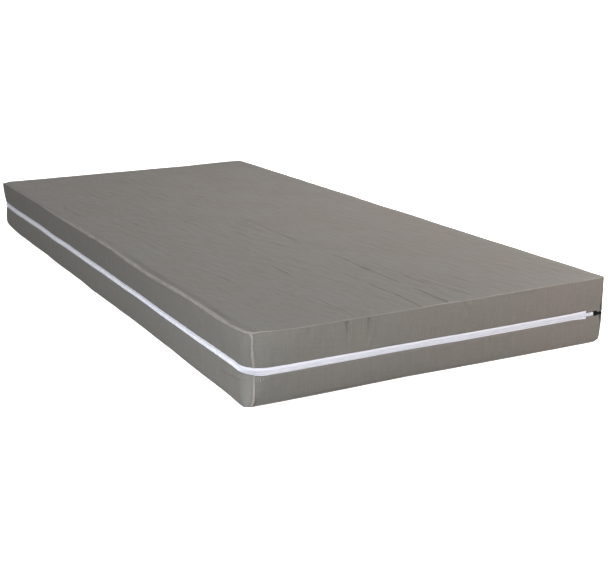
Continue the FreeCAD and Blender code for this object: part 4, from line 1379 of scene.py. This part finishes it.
def area_light(name, place, target, size, watts, colour):
    light = bpy.data.lights.new(name, "AREA")
    light.color = colour
    light.shape = "RECTANGLE"
    light.size, light.size_y = size
    light.energy = watts
    obj = bpy.data.objects.new(f"{name}_light", light)
    bpy.context.collection.objects.link(obj)
    obj.location = place
    obj.rotation_euler = (Vector(target) - Vector(place)).to_track_quat("-Z", "Y").to_euler()
    obj.visible_camera = False


def make_stage():
    """A white floor and room. The object gets less light from below than from above."""
    corners = [(-30, -30, FLOOR), (30, -30, FLOOR), (30, 30, FLOOR), (-30, 30, FLOOR)]
    floor = new_mesh("floor", corners, [(0, 1, 2, 3)])
    mat, _, shader = new_material("floor", (0.85, 0.85, 0.85), 0.9, emission_strength=1.0)
    shader.inputs["Emission Color"].default_value = (1, 1, 1, 1)
    floor.data.materials.append(mat)
    floor.visible_diffuse = floor.visible_glossy = False
    world = bpy.data.worlds.new("studio")
    bpy.context.scene.world = world
    world.use_nodes = True
    tree = world.node_tree
    place = add_node(tree, "TexCoord").outputs["Generated"]
    above = math_node(tree, "GREATER_THAN", add_node(tree, "SeparateXYZ", Vector=place).outputs["Z"], 0.0)
    level = plus(tree, times(tree, above, SKY - BELOW), BELOW)
    seen = add_node(tree, "LightPath").outputs["Is Camera Ray"]
    background = tree.nodes["Background"].inputs
    tree.links.new(math_node(tree, "MAXIMUM", level, seen), background["Strength"])
    background["Color"].default_value = (1, 1, 1, 1)
    for light in LIGHTS:
        area_light(*light)


CAMERA_TARGET = (0.0822, -0.2205, 0.0)
CAMERA_AZIMUTH = math.radians(-27.66)
CAMERA_ELEVATION = math.radians(15.22)
CAMERA_DISTANCE = 3.088
CAMERA_LENS = 65.99
CAMERA_ROLL = math.radians(-0.574)


def make_camera():
    data = bpy.data.cameras.new("camera")
    data.lens, data.sensor_width = CAMERA_LENS, 36
    camera = bpy.data.objects.new("camera", data)
    bpy.context.collection.objects.link(camera)
    back = Vector((math.sin(CAMERA_AZIMUTH), -math.cos(CAMERA_AZIMUTH), 0)) * math.cos(CAMERA_ELEVATION)
    back.z = math.sin(CAMERA_ELEVATION)
    camera.location = Vector(CAMERA_TARGET) + back * CAMERA_DISTANCE
    facing = (-back).to_track_quat("-Z", "Y") @ Quaternion((0, 0, 1), CAMERA_ROLL)
    camera.rotation_euler = facing.to_euler()
    bpy.context.scene.camera = camera
    bpy.context.scene.view_settings.view_transform = "Standard"


make_camera()
make_stage()
TOP_WRINKLES = top_wrinkles()
BORDER_WRINKLES = border_wrinkles()
top_grid, right_grid = make_sheets()
bottom_grid = make_bottom()
borders = make_borders()
make_edge_roll("top_edge_seam_roll", "top_edge_seam", "top", edge_curve(top_grid), 1.0)
make_edge_roll("bottom_edge_seam_roll", "bottom_edge_seam", "base", edge_curve(bottom_grid), -1.0)
make_corner_rolls(borders, right_grid)
make_hem_stitches(borders)
make_garages()
make_zip()
finish_cad("zip_slider", "slider", 0.0003)
finish_cad("pull_tab", "slider", 0.0003)
make_core()
